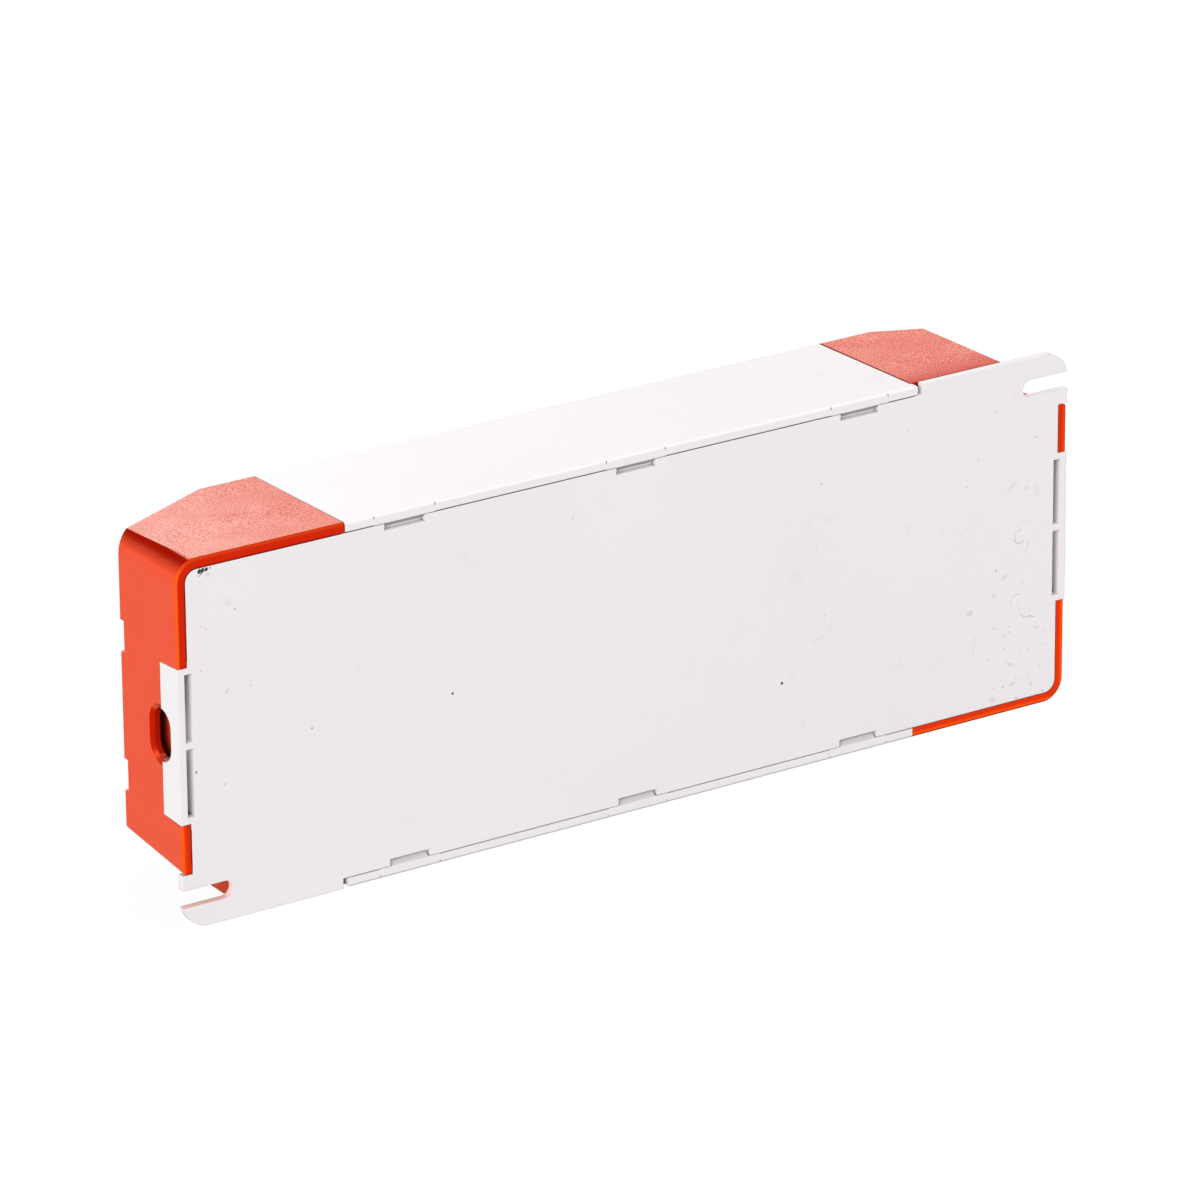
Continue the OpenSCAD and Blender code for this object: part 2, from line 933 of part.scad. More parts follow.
// Finned plate that stands on the board, with its flat side towards the middle.
module heat_sink() {
    plate = 2;
    fin_reach = 5;
    fin_t = 1.2;
    fin_pitch = (sink_size[0] - fin_t) / (sink_fins - 1);
    linear_extrude(sink_size[1]) {
        translate([-sink_size[0] / 2, -plate])
            square([sink_size[0], plate]);
        for (i = [0 : sink_fins - 1])
            translate([-sink_size[0] / 2 + i * fin_pitch, -plate - fin_reach])
                square([fin_t, fin_reach + overlap]);
    }
}

// Power device with its metal tab against the heat sink's flat side.
module power_device() {
    device_w = 10;
    body_size = [device_w, 4.5, 9];
    tab_size = [device_w, 1.3, 6];
    device_z = 4;
    translate([0, 0, device_z]) {
        translate([-device_w / 2, 0, 0])
            cube(body_size);
        translate([-device_w / 2, 0, body_size[2] - overlap])
            difference() {
                cube([tab_size[0], tab_size[1], tab_size[2] + overlap]);
                translate([device_w / 2, -beyond, tab_size[2] / 2 + overlap])
                    rotate([-90, 0, 0])
                        cylinder(d = wire_hole_d, h = tab_size[1] + 2 * beyond);
            }
    }
    translate([0, body_size[1] / 2, 0])
        leads(device_w / 4, 3, device_z + overlap);
}

module switching_transistor() {
    color("black")
        on_board(transistor_at)
            power_device();
}

module primary_heat_sink() {
    color("silver")
        on_board(transistor_at)
            heat_sink();
}

module output_rectifier() {
    color("black")
        on_board(rectifier_at)
            power_device();
}

module secondary_heat_sink() {
    color("silver")
        on_board(rectifier_at)
            heat_sink();
}

module transformer_core() {
    color("dimgray")
        on_board(core_at)
            translate([0, 0, core_lift])
                along_y(core_size[1])
                    difference() {
                        translate([-core_size[0] / 2, 0])
                            square([core_size[0], core_size[2]]);
                        for (s = [-1, 1])
                            translate([s * (leg_half + window_w / 2), core_size[2] / 2])
                                square([window_w, window_h], center = true);
                    }
}

// Bobbin on the core's middle leg: a tube, two flanges and two pin rails.
module transformer_bobbin() {
    tube_l = 2 * (leg_half + bobbin_t);
    tube_w = core_size[1] + 2 * (bobbin_t + seat_gap);
    flange_l = 2 * (leg_half + window_w - seat_gap);
    flange_w = core_size[1] + 2 * window_w;
    rail_w = 4;
    low_z = core_lift + core_leg + seat_gap;
    color("ivory")
        on_board(core_at) {
            difference() {
                translate([0, 0, low_z])
                    linear_extrude(window_h - 2 * seat_gap)
                        square([tube_l, tube_w], center = true);
                bobbin_bore();
            }
            for (z = [low_z, low_z + window_h - 2 * seat_gap - bobbin_t])
                difference() {
                    translate([0, 0, z])
                        linear_extrude(bobbin_t)
                            square([flange_l, flange_w], center = true);
                    bobbin_bore();
                }
            for (s = [-1, 1])
                translate([0, s * (flange_w - rail_w) / 2, low_z / 2 + overlap / 2])
                    cube([flange_l, rail_w, low_z + overlap], center = true);
        }
}

module bobbin_bore() {
    linear_extrude(body_h)
        square([2 * leg_half + 2 * seat_gap, core_size[1] + 2 * seat_gap], center = true);
}

module transformer_winding() {
    hole_l = 2 * (leg_half + bobbin_t + seat_gap);
    hole_w = core_size[1] + 2 * (bobbin_t + 2 * seat_gap);
    build = window_w - 2 * bobbin_t;
    low_z = core_lift + core_leg + bobbin_t + 2 * seat_gap;
    color("gold")
        on_board(core_at)
            translate([0, 0, low_z])
                linear_extrude(window_h - 2 * bobbin_t - 4 * seat_gap)
                    difference() {
                        rounded_rect(hole_l + 2 * build, hole_w + 2 * build, build);
                        square([hole_l, hole_w], center = true);
                    }
}

module y_capacitor() {
    color("steelblue")
        on_board(y_cap_at)
            disc_part(y_cap_size[0], y_cap_size[1]);
}

// Moulded chip package on two rows of bent legs.
module chip_part(size, rows) {
    leg = [0.6, 0.9];
    rise = 0.4;
    translate([-size[0] / 2, -size[1] / 2, rise])
        cube(size);
    for (i = [0 : rows - 1], s = [-1, 1])
        translate([(i - (rows - 1) / 2) * size[0] / rows, s * (size[1] / 2 + leg[1] / 2 - overlap / 2), 0])
            translate([-leg[0] / 2, -leg[1] / 2 - overlap / 2, 0])
                cube([leg[0], leg[1] + overlap, rise + size[2] / 2]);
}

module optocoupler() {
    color("black")
        on_board(opto_at)
            chip_part(opto_size, 2);
}

module control_chip() {
    color("black")
        on_board(chip_at)
            chip_part(chip_size, 4);
}

module snubber_resistors() {
    resistor_d = 3.5;
    resistor_l = 9;
    lead_reach = 1.5;
    spacing = 5;
    color("tan")
        for (i = [0, 1])
            on_board([snubber_at[0] + i * spacing, snubber_at[1]])
                translate([0, 0, resistor_d / 2]) {
                    rotate([90, 0, 0])
                        cylinder(d = resistor_d, h = resistor_l, center = true);
                    rotate([90, 0, 0])
                        cylinder(d = lead_d, h = resistor_l + 2 * lead_reach, center = true);
                    for (s = [-1, 1])
                        translate([0, s * (resistor_l / 2 + lead_reach), -resistor_d / 2])
                            cylinder(d = lead_d, h = resistor_d / 2 + lead_d / 2);
                }
}

module output_capacitors() {
    color("midnightblue")
        for (at = output_cap_at)
            on_board(at)
                can_part(output_cap_size[0], output_cap_size[1]);
}

// Spool of ferrite for the output choke.
module output_choke_core() {
    color("dimgray")
        on_board(drum_at) {
            cylinder(d = drum_size[0], h = drum_flange_h);
            cylinder(d = drum_hub_d, h = drum_size[1]);
            translate([0, 0, drum_size[1] - drum_flange_h])
                cylinder(d = drum_size[0], h = drum_flange_h);
        }
}

module output_choke_winding() {
    color("peru")
        on_board(drum_at)
            translate([0, 0, drum_flange_h])
                difference() {
                    cylinder(d = drum_size[0] - beyond, h = drum_size[1] - 2 * drum_flange_h);
                    translate([0, 0, -beyond])
                        cylinder(d = drum_hub_d, h = drum_size[1]);
                }
}

base_tray();
top_cover();
input_cap();
output_cap();
cap_screws();
circuit_board();
input_terminal();
output_terminal();
terminal_screws();
fuse();
varistor();
x_capacitor();
choke_core();
choke_windings();
bridge_rectifier();
bulk_capacitor();
switching_transistor();
primary_heat_sink();
transformer_core();
transformer_bobbin();
transformer_winding();
y_capacitor();
optocoupler();
control_chip();
snubber_resistors();
output_rectifier();
secondary_heat_sink();
output_capacitors();
output_choke_core();
output_choke_winding();
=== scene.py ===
import math

import bpy
import numpy as np
from mathutils import Matrix, Vector


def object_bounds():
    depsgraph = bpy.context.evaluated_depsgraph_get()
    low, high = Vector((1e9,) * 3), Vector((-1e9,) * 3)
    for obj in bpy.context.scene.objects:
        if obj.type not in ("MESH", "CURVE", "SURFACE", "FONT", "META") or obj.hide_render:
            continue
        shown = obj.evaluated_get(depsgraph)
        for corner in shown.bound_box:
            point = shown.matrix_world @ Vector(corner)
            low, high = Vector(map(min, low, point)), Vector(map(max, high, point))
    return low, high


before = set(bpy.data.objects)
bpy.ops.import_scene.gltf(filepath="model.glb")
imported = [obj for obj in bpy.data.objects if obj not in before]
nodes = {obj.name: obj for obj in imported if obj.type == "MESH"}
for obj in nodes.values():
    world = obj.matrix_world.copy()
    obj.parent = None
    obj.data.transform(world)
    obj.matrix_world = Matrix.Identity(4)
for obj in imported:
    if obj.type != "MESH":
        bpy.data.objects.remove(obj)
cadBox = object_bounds()
mm = 0.001

# Places on the part that the materials refer to.
part = {
    "faceY": cadBox[0].y,        # mounting face
    "middleZ": (cadBox[0].z + cadBox[1].z) / 2,
    "lowZ": cadBox[0].z,
    "endX": cadBox[1].x,
    "seamX": 64 * mm,            # where the cover meets the caps
    "tabHalf": 16.5 * mm,        # half the width of the tab in an end wall, with some room
    "earStrip": 24.5 * mm,       # from the middle to the strip that carries an ear
    "slotAt": 29.9 * mm,         # and on to the middle of the ear's slot
    "slotHalf": 2 * mm,
}
print("frame loaded:", len(nodes), "pieces")


def linear(hexColour, alpha=1.0):
    # sRGB hex to linear light: v / 12.92 below 0.04045, ((v + 0.055) / 1.055) ^ 2.4 above
    v = np.array([int(hexColour[i:i + 2], 16) for i in (1, 3, 5)]) / 255
    v = np.where(v <= 0.04045, v / 12.92, ((v + 0.055) / 1.055) ** 2.4)
    return (*v.tolist(), alpha)


def addNode(tree, kind, settings, sockets):
    # settings go to the node itself; a socket takes a value, an output or a node, for its first output
    node = tree.nodes.new(kind)
    for name, value in settings.items():
        setattr(node, name, value)
    for name, value in sockets.items():
        if isinstance(value, bpy.types.Node):
            value = value.outputs[0]
        if isinstance(value, bpy.types.NodeSocket):
            tree.links.new(value, node.inputs[name])
        else:
            node.inputs[name].default_value = value
    return node


def newMaterial(name):
    material = bpy.data.materials.new(name)
    material.use_nodes = True
    material.node_tree.nodes.clear()
    return material, material.node_tree


# White housing: moulded polycarbonate. Satin skin with a faint fine grain, slightly warm,
# with the marks of use on it: specks, faint smudges, hair scratches and a few dark spots.
whiteHousing = {
    "name": "polycarbonateWhiteSatin",
    "nodes": ["base_tray", "top_cover"],
    "colour": "#E9E4E5",
    "colourFar": "#E3DFE0",
    "dirt": "#241C16",
    "smudge": "#BDB8BA",
    # painted shade: on the pocket ramps, and in the gaps and pockets where ambient occlusion is low
    "creviceShade": "#6B6160",
    "creviceReach": 0.6 * mm,
    "gap": "#4C3A33",
    "gapShade": 0.85,
    "gapDepth": (1.4 * mm, 2.0 * mm),    # behind the mounting face, where the shade ends
    "gapBesideCap": 0.1,
    "rimReflection": "#B03C2A",      # painted reflection: red of the caps' rims thrown back by the plate's edge
    "slotReflection": "#F2D0C8",        # painted reflection, paler, on the walls of the input end's ear slot
    "rampShade": (0.66, 0.34),   # on the ramps of the upper and of the lower pockets
    "lowGap": 0.28,              # share of the gap's shade along the lower edge
    "roughness": 0.42,
    "ior": 1.5,
    "edgeRadius": 0.22 * mm,
    "grain": 0.35 * mm,          # real grain is about 0.1 mm, drawn coarser so that it shows
    "cloud": 45 * mm,
    "speckCell": 7.0 * mm,
    "speckSize": 0.024,          # largest speck as a share of its cell
    "speckFrom": (20 * mm, 90 * mm),     # more specks along x, from one share of the cells to another
    "speckShare": (0.22, 0.75),
    "dustCell": 2.1 * mm,
    "dustJag": (0.5 * mm, 0.8 * mm),     # size and depth of the grains' uneven outline
    "dustyX": (62 * mm, 90 * mm),
    "dustyZ": (15 * mm, 60 * mm),
    "dustSize": 0.1,
    "dustDark": 0.28,
    "scratchCell": 16 * mm,
    "scratchBend": (9 * mm, 14 * mm),
    "scratchWidth": 0.012,       # share of its cell
    "scratchPatch": 13 * mm,
    "scratchShade": 0.5,
    "crumb": 0.9 * mm,
    "hairSway": (2.2 * mm, 1.6 * mm),
}

# Single marks on the mounting face: x and z of the middle and half sizes in mm, turn in degrees,
# how dark, where more than 1 makes the edge sharper, and how broken the outline is.
plateMarks = [
    {"at": (-94.9, 69.3), "half": (0.4, 0.56), "turn": -28, "dark": 1.8, "rough": 0.35},
    {"at": (-94.2, 69.35), "half": (0.4, 0.56), "turn": -28, "dark": 2.0, "rough": 0.3},
    {"at": (-93.4, 69.4), "half": (0.38, 0.48), "turn": -30, "dark": 2.0, "rough": 0.3},
    {"at": (-94.6, 68.8), "half": (0.35, 0.35), "turn": 0, "dark": 0.6, "rough": 0.6},
    {"at": (-92.6, 69.5), "half": (0.32, 0.3), "turn": 0, "dark": 0.5, "rough": 0.5},
    {"at": (-95.0, 68.4), "half": (0.26, 0.28), "turn": 0, "dark": 0.35, "rough": 0.5},
    {"at": (-93.1, 68.4), "half": (0.8, 0.5), "turn": -20, "dark": 0.12, "rough": 0.9},
    {"at": (-94.8, 67.0), "half": (0.4, 0.8), "turn": 15, "dark": 0.08, "rough": 0.8},
    {"at": (-98.2, 66.0), "half": (0.25, 0.28), "turn": 0, "dark": 0.5, "rough": 0.3},
    {"at": (36.4, 39.0), "half": (1.9, 1.9), "turn": 0, "dark": 0.04, "rough": 0.1},
    {"at": (33.0, 36.6), "half": (1.5, 1.5), "turn": 0, "dark": 0.02, "rough": 0.1},
    {"at": (33.1, 18.3), "half": (0.32, 0.38), "turn": 30, "dark": 1.6, "rough": 0.3},
    {"at": (35.2, 19.2), "half": (1.2, 0.35), "turn": 28, "dark": 0.08, "rough": 0.9},
    {"at": (43.1, 30.0), "half": (0.4, 0.5), "turn": 20, "dark": 0.14, "rough": 0.5},
    {"at": (41.5, 25.4), "half": (1.8, 0.35), "turn": 24, "dark": 0.08, "rough": 0.8},
    {"at": (85.6, 28.5), "half": (1.0, 0.6), "turn": 15, "dark": 0.16, "rough": 0.9},
    {"at": (93.0, 44.8), "half": (1.0, 1.8), "turn": 20, "dark": 0.06, "rough": 0.9},
    {"at": (82.9, 3.4), "half": (0.9, 0.9), "turn": 0, "dark": 0.12, "rough": 0.9},
    {"at": (88.6, 2.5), "half": (0.3, 0.3), "turn": 0, "dark": 0.55, "rough": 0.3},
    {"at": (95.0, 2.6), "half": (0.28, 0.28), "turn": 0, "dark": 0.4, "rough": 0.3},
    {"at": (87.6, 5.7), "half": (0.9, 0.7), "turn": 30, "dark": 0.18, "rough": 0.9},
    {"at": (88.5, 6.8), "half": (0.4, 0.8), "turn": 25, "dark": 0.16, "rough": 0.8},
    {"at": (87.0, 9.9), "half": (0.8, 0.5), "turn": -30, "dark": 0.14, "rough": 0.9},
    {"at": (92.1, 5.0), "half": (0.5, 1.0), "turn": 20, "dark": 0.12, "rough": 0.9},
    {"at": (94.1, 8.1), "half": (0.4, 0.4), "turn": 0, "dark": 0.12, "rough": 0.6},
    {"at": (-41.2, 33.3), "half": (0.3, 0.3), "turn": 0, "dark": 1.8, "rough": 0.3},
    {"at": (-87.6, 60.4), "half": (0.26, 0.3), "turn": 0, "dark": 0.5, "rough": 0.4},
    {"at": (-89.0, 62.1), "half": (1.4, 0.9), "turn": -25, "dark": 0.07, "rough": 0.9},
    {"at": (-94.9, 58.6), "half": (0.28, 0.26), "turn": 0, "dark": 0.18, "rough": 0.6},
    {"at": (-93.8, 58.0), "half": (0.3, 0.3), "turn": 0, "dark": 0.18, "rough": 0.6},
    {"at": (-95.1, 50.1), "half": (0.32, 0.3), "turn": 0, "dark": 0.25, "rough": 0.5},
    {"at": (-89.6, 45.1), "half": (0.35, 1.1), "turn": -40, "dark": 0.16, "rough": 0.8},
    {"at": (-84.6, 44.9), "half": (0.3, 0.35), "turn": 0, "dark": 0.2, "rough": 0.6},
    {"at": (-96.6, 30.6), "half": (0.3, 0.34), "turn": 0, "dark": 0.8, "rough": 0.3},
    {"at": (-90.6, 26.9), "half": (0.3, 0.3), "turn": 0, "dark": 0.25, "rough": 0.5},
    {"at": (-71.8, 33.5), "half": (0.3, 0.32), "turn": 0, "dark": 0.5, "rough": 0.4},
    {"at": (83.4, 30.1), "half": (0.3, 0.32), "turn": 0, "dark": 0.45, "rough": 0.4},
    {"at": (-14.2, 62.3), "half": (0.22, 0.75), "turn": 0, "dark": 0.2, "rough": 0.6},
    {"at": (86.7, 17.8), "half": (0.32, 0.3), "turn": 0, "dark": 0.18, "rough": 0.6},
    {"at": (86.9, 16.5), "half": (0.3, 0.36), "turn": 0, "dark": 0.16, "rough": 0.6},
    {"at": (85.8, 16.2), "half": (0.4, 0.5), "turn": 20, "dark": 0.1, "rough": 0.8},
    {"at": (85.5, 13.4), "half": (0.3, 0.3), "turn": 0, "dark": 0.24, "rough": 0.5},
    {"at": (86.2, 10.6), "half": (0.3, 0.36), "turn": 0, "dark": 0.2, "rough": 0.6},
    {"at": (93.5, 16.3), "half": (0.4, 0.36), "turn": 30, "dark": 0.18, "rough": 0.7},
    {"at": (94.9, 15.3), "half": (0.42, 0.3), "turn": 0, "dark": 0.13, "rough": 0.8},
    {"at": (94.9, 12.2), "half": (0.6, 0.24), "turn": 0, "dark": 0.12, "rough": 0.7},
    {"at": (91.3, 12.1), "half": (0.55, 0.26), "turn": 0, "dark": 0.12, "rough": 0.7},
    {"at": (81.8, 12.2), "half": (0.34, 0.34), "turn": 0, "dark": 0.16, "rough": 0.6},
    {"at": (77.2, 22.7), "half": (1.0, 0.7), "turn": 25, "dark": 0.17, "rough": 0.8},
    {"at": (83.0, 25.0), "half": (0.35, 0.9), "turn": -15, "dark": 0.14, "rough": 0.8},
    {"at": (83.0, 63.0), "half": (0.4, 0.3), "turn": 0, "dark": 0.2, "rough": 0.6},
    {"at": (92.7, 55.7), "half": (0.26, 0.28), "turn": 0, "dark": 0.3, "rough": 0.5},
    {"at": (76.2, 48.9), "half": (0.3, 0.3), "turn": 0, "dark": 0.35, "rough": 0.5},
    {"at": (79.0, 53.7), "half": (0.42, 0.42), "turn": 0, "dark": 0.12, "rough": 0.7},
    {"at": (42.2, 56.9), "half": (0.26, 0.26), "turn": 0, "dark": 0.4, "rough": 0.4},
    {"at": (62.3, 63.4), "half": (0.26, 0.3), "turn": 0, "dark": 0.2, "rough": 0.5},
    {"at": (90.5, 45.6), "half": (0.7, 0.5), "turn": 30, "dark": 0.13, "rough": 0.8},
]


# Hairs stuck to the mounting face: arcs by middle and radii in mm, turn, where the arc is cut
# as a share of the radius, and how dark.
plateHairs = [
    {"at": (88.3, 23.0), "radii": (1.2, 1.2), "turn": 135, "cut": 0.1, "dark": 0.34},
    {"at": (92.6, 22.9), "radii": (4.1, 4.1), "turn": -128, "cut": 0.72, "dark": 0.36},
    {"at": (89.3, 36.0), "radii": (1.5, 1.3), "turn": 190, "cut": -0.45, "dark": 0.26},
    {"at": (90.1, 33.6), "radii": (1.0, 1.2), "turn": -30, "cut": 0.1, "dark": 0.24},
]


def hairMask(tree, hair, place, noise):
    # thin line where the length of (p - middle) / radii is 1, kept past the cut and broken by noise
    centred = addNode(tree, "ShaderNodeMapping", {"vector_type": "TEXTURE"}, {
        "Vector": place,
        "Location": (hair["at"][0] * mm, part["faceY"], hair["at"][1] * mm),
        "Rotation": (0, math.radians(-hair["turn"]), 0),
        "Scale": (hair["radii"][0] * mm, 1.0, hair["radii"][1] * mm),
    })
    reach = addNode(tree, "ShaderNodeVectorMath", {"operation": "LENGTH"}, {0: centred})
    off = addNode(tree, "ShaderNodeMath", {"operation": "SUBTRACT"}, {
        0: reach.outputs["Value"], 1: 1.0,
    })
    off = addNode(tree, "ShaderNodeMath", {"operation": "ABSOLUTE"}, {0: off})
    thin = 0.12 / max(hair["radii"])
    line = addNode(tree, "ShaderNodeMapRange", {}, {
        "Value": off, "From Min": 0.4 * thin, "From Max": 1.6 * thin, "To Min": hair["dark"], "To Max": 0.0,
    })
    axes = addNode(tree, "ShaderNodeSeparateXYZ", {}, {"Vector": centred})
    side = addNode(tree, "ShaderNodeMath", {"operation": "GREATER_THAN"}, {
        0: axes.outputs["X"], 1: hair["cut"],
    })
    kept = addNode(tree, "ShaderNodeMapRange", {}, {
        "Value": noise, "From Min": 0.38, "From Max": 0.55, "To Min": 0.3, "To Max": 1.0,
    })
    line = addNode(tree, "ShaderNodeMath", {"operation": "MULTIPLY"}, {0: line, 1: kept})
    return addNode(tree, "ShaderNodeMath", {"operation": "MULTIPLY"}, {0: line, 1: side})


def markMask(tree, spot, place, noise):
    # 1 - length of (p - place) / half size, broken up by noise and cut to a soft edge
    half = spot["half"]
    centred = addNode(tree, "ShaderNodeMapping", {"vector_type": "TEXTURE"}, {
        "Vector": place,
        "Location": (spot["at"][0] * mm, part["faceY"], spot["at"][1] * mm),
        "Rotation": (0, math.radians(-spot["turn"]), 0),
        "Scale": (half[0] * mm, 2 * mm, half[1] * mm),
    })
    fall = addNode(tree, "ShaderNodeTexGradient", {"gradient_type": "SPHERICAL"}, {"Vector": centred})
    broken = addNode(tree, "ShaderNodeMath", {"operation": "MULTIPLY_ADD"}, {
        0: noise, 1: -1.6 * spot["rough"], 2: fall.outputs["Fac"],
    })
    edge = addNode(tree, "ShaderNodeMapRange", {"interpolation_type": "SMOOTHSTEP"}, {
        "Value": broken,
        "From Min": -0.75 * spot["rough"], "From Max": 0.45 - 0.75 * spot["rough"],
        "To Min": 0.0, "To Max": spot["dark"],
    })
    inside = addNode(tree, "ShaderNodeMath", {"operation": "GREATER_THAN"}, {
        0: fall.outputs["Fac"], 1: 0.001,
    })
    return addNode(tree, "ShaderNodeMath", {"operation": "MULTIPLY"}, {0: edge, 1: inside})


def makeWhiteHousing(look):
    material, tree = newMaterial(look["name"])
    place = addNode(tree, "ShaderNodeTexCoord", {}, {}).outputs["Object"]

    # slow cloudiness of the moulding
    cloud = addNode(tree, "ShaderNodeTexNoise", {}, {
        "Vector": place, "Scale": 1 / look["cloud"], "Detail": 3.0,
    })
    colour = addNode(tree, "ShaderNodeMix", {"data_type": "RGBA"}, {
        0: cloud.outputs["Fac"], 6: linear(look["colour"]), 7: linear(look["colourFar"]),
    }).outputs[2]

    # more dirt towards the lower right of the mounting face
    along = addNode(tree, "ShaderNodeSeparateXYZ", {}, {"Vector": place})
    towardsEnd = addNode(tree, "ShaderNodeMapRange", {}, {
        "Value": along.outputs["X"], "From Min": look["speckFrom"][0], "From Max": look["speckFrom"][1],
        "To Min": look["speckShare"][0], "To Max": look["speckShare"][1],
    })

    # specks: each cell of a Voronoi has one, of random size, and only some cells show it
    cells = addNode(tree, "ShaderNodeTexVoronoi", {}, {
        "Vector": place, "Scale": 1 / look["speckCell"], "Randomness": 1.0,
    })
    pick = addNode(tree, "ShaderNodeSeparateColor", {}, {"Color": cells.outputs["Color"]})
    size = addNode(tree, "ShaderNodeMath", {"operation": "MULTIPLY"}, {0: pick, 1: look["speckSize"]})
    near = addNode(tree, "ShaderNodeMath", {"operation": "LESS_THAN"}, {
        0: cells.outputs["Distance"], 1: size,
    })
    shown = addNode(tree, "ShaderNodeMath", {"operation": "LESS_THAN"}, {
        0: pick.outputs[1], 1: towardsEnd,
    })
    speck = addNode(tree, "ShaderNodeMath", {"operation": "MULTIPLY"}, {0: near, 1: shown})
    speck = addNode(tree, "ShaderNodeMath", {"operation": "MULTIPLY"}, {0: speck, 1: pick.outputs[2]})

    # dust: the same with smaller cells, faint and all over, its place jagged so that grains are uneven
    jag = addNode(tree, "ShaderNodeTexNoise", {}, {
        "Vector": place, "Scale": 1 / look["dustJag"][0], "Detail": 1.0,
    })
    jagged = addNode(tree, "ShaderNodeVectorMath", {"operation": "MULTIPLY_ADD"}, {
        0: jag.outputs["Color"], 1: 3 * (look["dustJag"][1],), 2: place,
    })
    grit = addNode(tree, "ShaderNodeTexVoronoi", {}, {
        "Vector": jagged, "Scale": 1 / look["dustCell"], "Randomness": 1.0,
    })
    draw = addNode(tree, "ShaderNodeSeparateColor", {}, {"Color": grit.outputs["Color"]})
    zoneX = addNode(tree, "ShaderNodeMapRange", {}, {
        "Value": along.outputs["X"], "From Min": look["dustyX"][0], "From Max": look["dustyX"][1],
    })
    zoneZ = addNode(tree, "ShaderNodeMapRange", {}, {
        "Value": along.outputs["Z"], "From Min": look["dustyZ"][0], "From Max": look["dustyZ"][1],
        "To Min": 1.0, "To Max": 0.25,
    })
    zone = addNode(tree, "ShaderNodeMath", {"operation": "MULTIPLY"}, {0: zoneX, 1: zoneZ})
    zone = addNode(tree, "ShaderNodeMath", {"operation": "MULTIPLY"}, {0: zone, 1: draw.outputs[2]})
    wide = addNode(tree, "ShaderNodeMath", {"operation": "MULTIPLY_ADD"}, {
        0: zone, 1: 1.2 * look["dustSize"], 2: look["dustSize"],
    })
    wide = addNode(tree, "ShaderNodeMath", {"operation": "MULTIPLY"}, {0: draw, 1: wide})
    tiny = addNode(tree, "ShaderNodeMath", {"operation": "LESS_THAN"}, {
        0: grit.outputs["Distance"], 1: wide,
    })
    weak = addNode(tree, "ShaderNodeMath", {"operation": "POWER"}, {0: draw.outputs[1], 1: 3.0})
    strength = addNode(tree, "ShaderNodeMath", {"operation": "MAXIMUM"}, {0: weak, 1: zone})
    dust = addNode(tree, "ShaderNodeMath", {"operation": "MULTIPLY"}, {0: tiny, 1: strength})
    dust = addNode(tree, "ShaderNodeMath", {"operation": "MULTIPLY"}, {0: dust, 1: look["dustDark"]})

    # hair scratches: edges of a warped Voronoi, kept only where a noise is high
    warp = addNode(tree, "ShaderNodeTexNoise", {}, {
        "Vector": place, "Scale": 1 / look["scratchBend"][0], "Detail": 2.0,
    })
    bent = addNode(tree, "ShaderNodeVectorMath", {"operation": "MULTIPLY_ADD"}, {
        0: warp.outputs["Color"], 1: 3 * (look["scratchBend"][1],), 2: place,
    })
    hairs = addNode(tree, "ShaderNodeTexVoronoi", {"feature": "DISTANCE_TO_EDGE"}, {
        "Vector": bent, "Scale": 1 / look["scratchCell"],
    })
    thin = addNode(tree, "ShaderNodeMapRange", {}, {
        "Value": hairs.outputs["Distance"], "From Min": 0.0, "From Max": look["scratchWidth"],
        "To Min": 1.0, "To Max": 0.0,
    })
    patch = addNode(tree, "ShaderNodeTexNoise", {}, {
        "Vector": place, "Scale": 1 / look["scratchPatch"], "Detail": 1.0,
    })
    kept = addNode(tree, "ShaderNodeMapRange", {}, {
        "Value": patch.outputs["Fac"], "From Min": 0.60, "From Max": 0.68,
        "To Min": 0.0, "To Max": look["scratchShade"],
    })
    hair = addNode(tree, "ShaderNodeMath", {"operation": "MULTIPLY"}, {0: thin, 1: kept})
    hair = addNode(tree, "ShaderNodeMath", {"operation": "MULTIPLY"}, {0: hair, 1: towardsEnd})
    colour = addNode(tree, "ShaderNodeMix", {"data_type": "RGBA"}, {
        0: hair, 6: colour, 7: linear(look["smudge"]),
    }).outputs[2]

    # single marks of the mounting face
    crumbs = addNode(tree, "ShaderNodeTexNoise", {}, {
        "Vector": place, "Scale": 1 / look["crumb"], "Detail": 3.0,
    })
    dark = addNode(tree, "ShaderNodeMath", {"operation": "MAXIMUM"}, {0: speck, 1: dust}).outputs[0]
    for spot in plateMarks:
        mask = markMask(tree, spot, place, crumbs.outputs["Fac"])
        dark = addNode(tree, "ShaderNodeMath", {"operation": "MAXIMUM"}, {0: dark, 1: mask}).outputs[0]
    sway = addNode(tree, "ShaderNodeTexNoise", {}, {
        "Vector": place, "Scale": 1 / look["hairSway"][0], "Detail": 1.0,
    })
    wavy = addNode(tree, "ShaderNodeVectorMath", {"operation": "MULTIPLY_ADD"}, {
        0: sway.outputs["Color"], 1: 3 * (look["hairSway"][1],), 2: place,
    })
    wavy = addNode(tree, "ShaderNodeVectorMath", {"operation": "SUBTRACT"}, {
        0: wavy, 1: 3 * (look["hairSway"][1] / 2,),
    })
    for hair in plateHairs:
        mask = hairMask(tree, hair, wavy.outputs[0], crumbs.outputs["Fac"])
        dark = addNode(tree, "ShaderNodeMath", {"operation": "MAXIMUM"}, {0: dark, 1: mask}).outputs[0]
    colour = addNode(tree, "ShaderNodeMix", {"data_type": "RGBA"}, {
        0: dark, 6: colour, 7: linear(look["dirt"]),
    }).outputs[2]
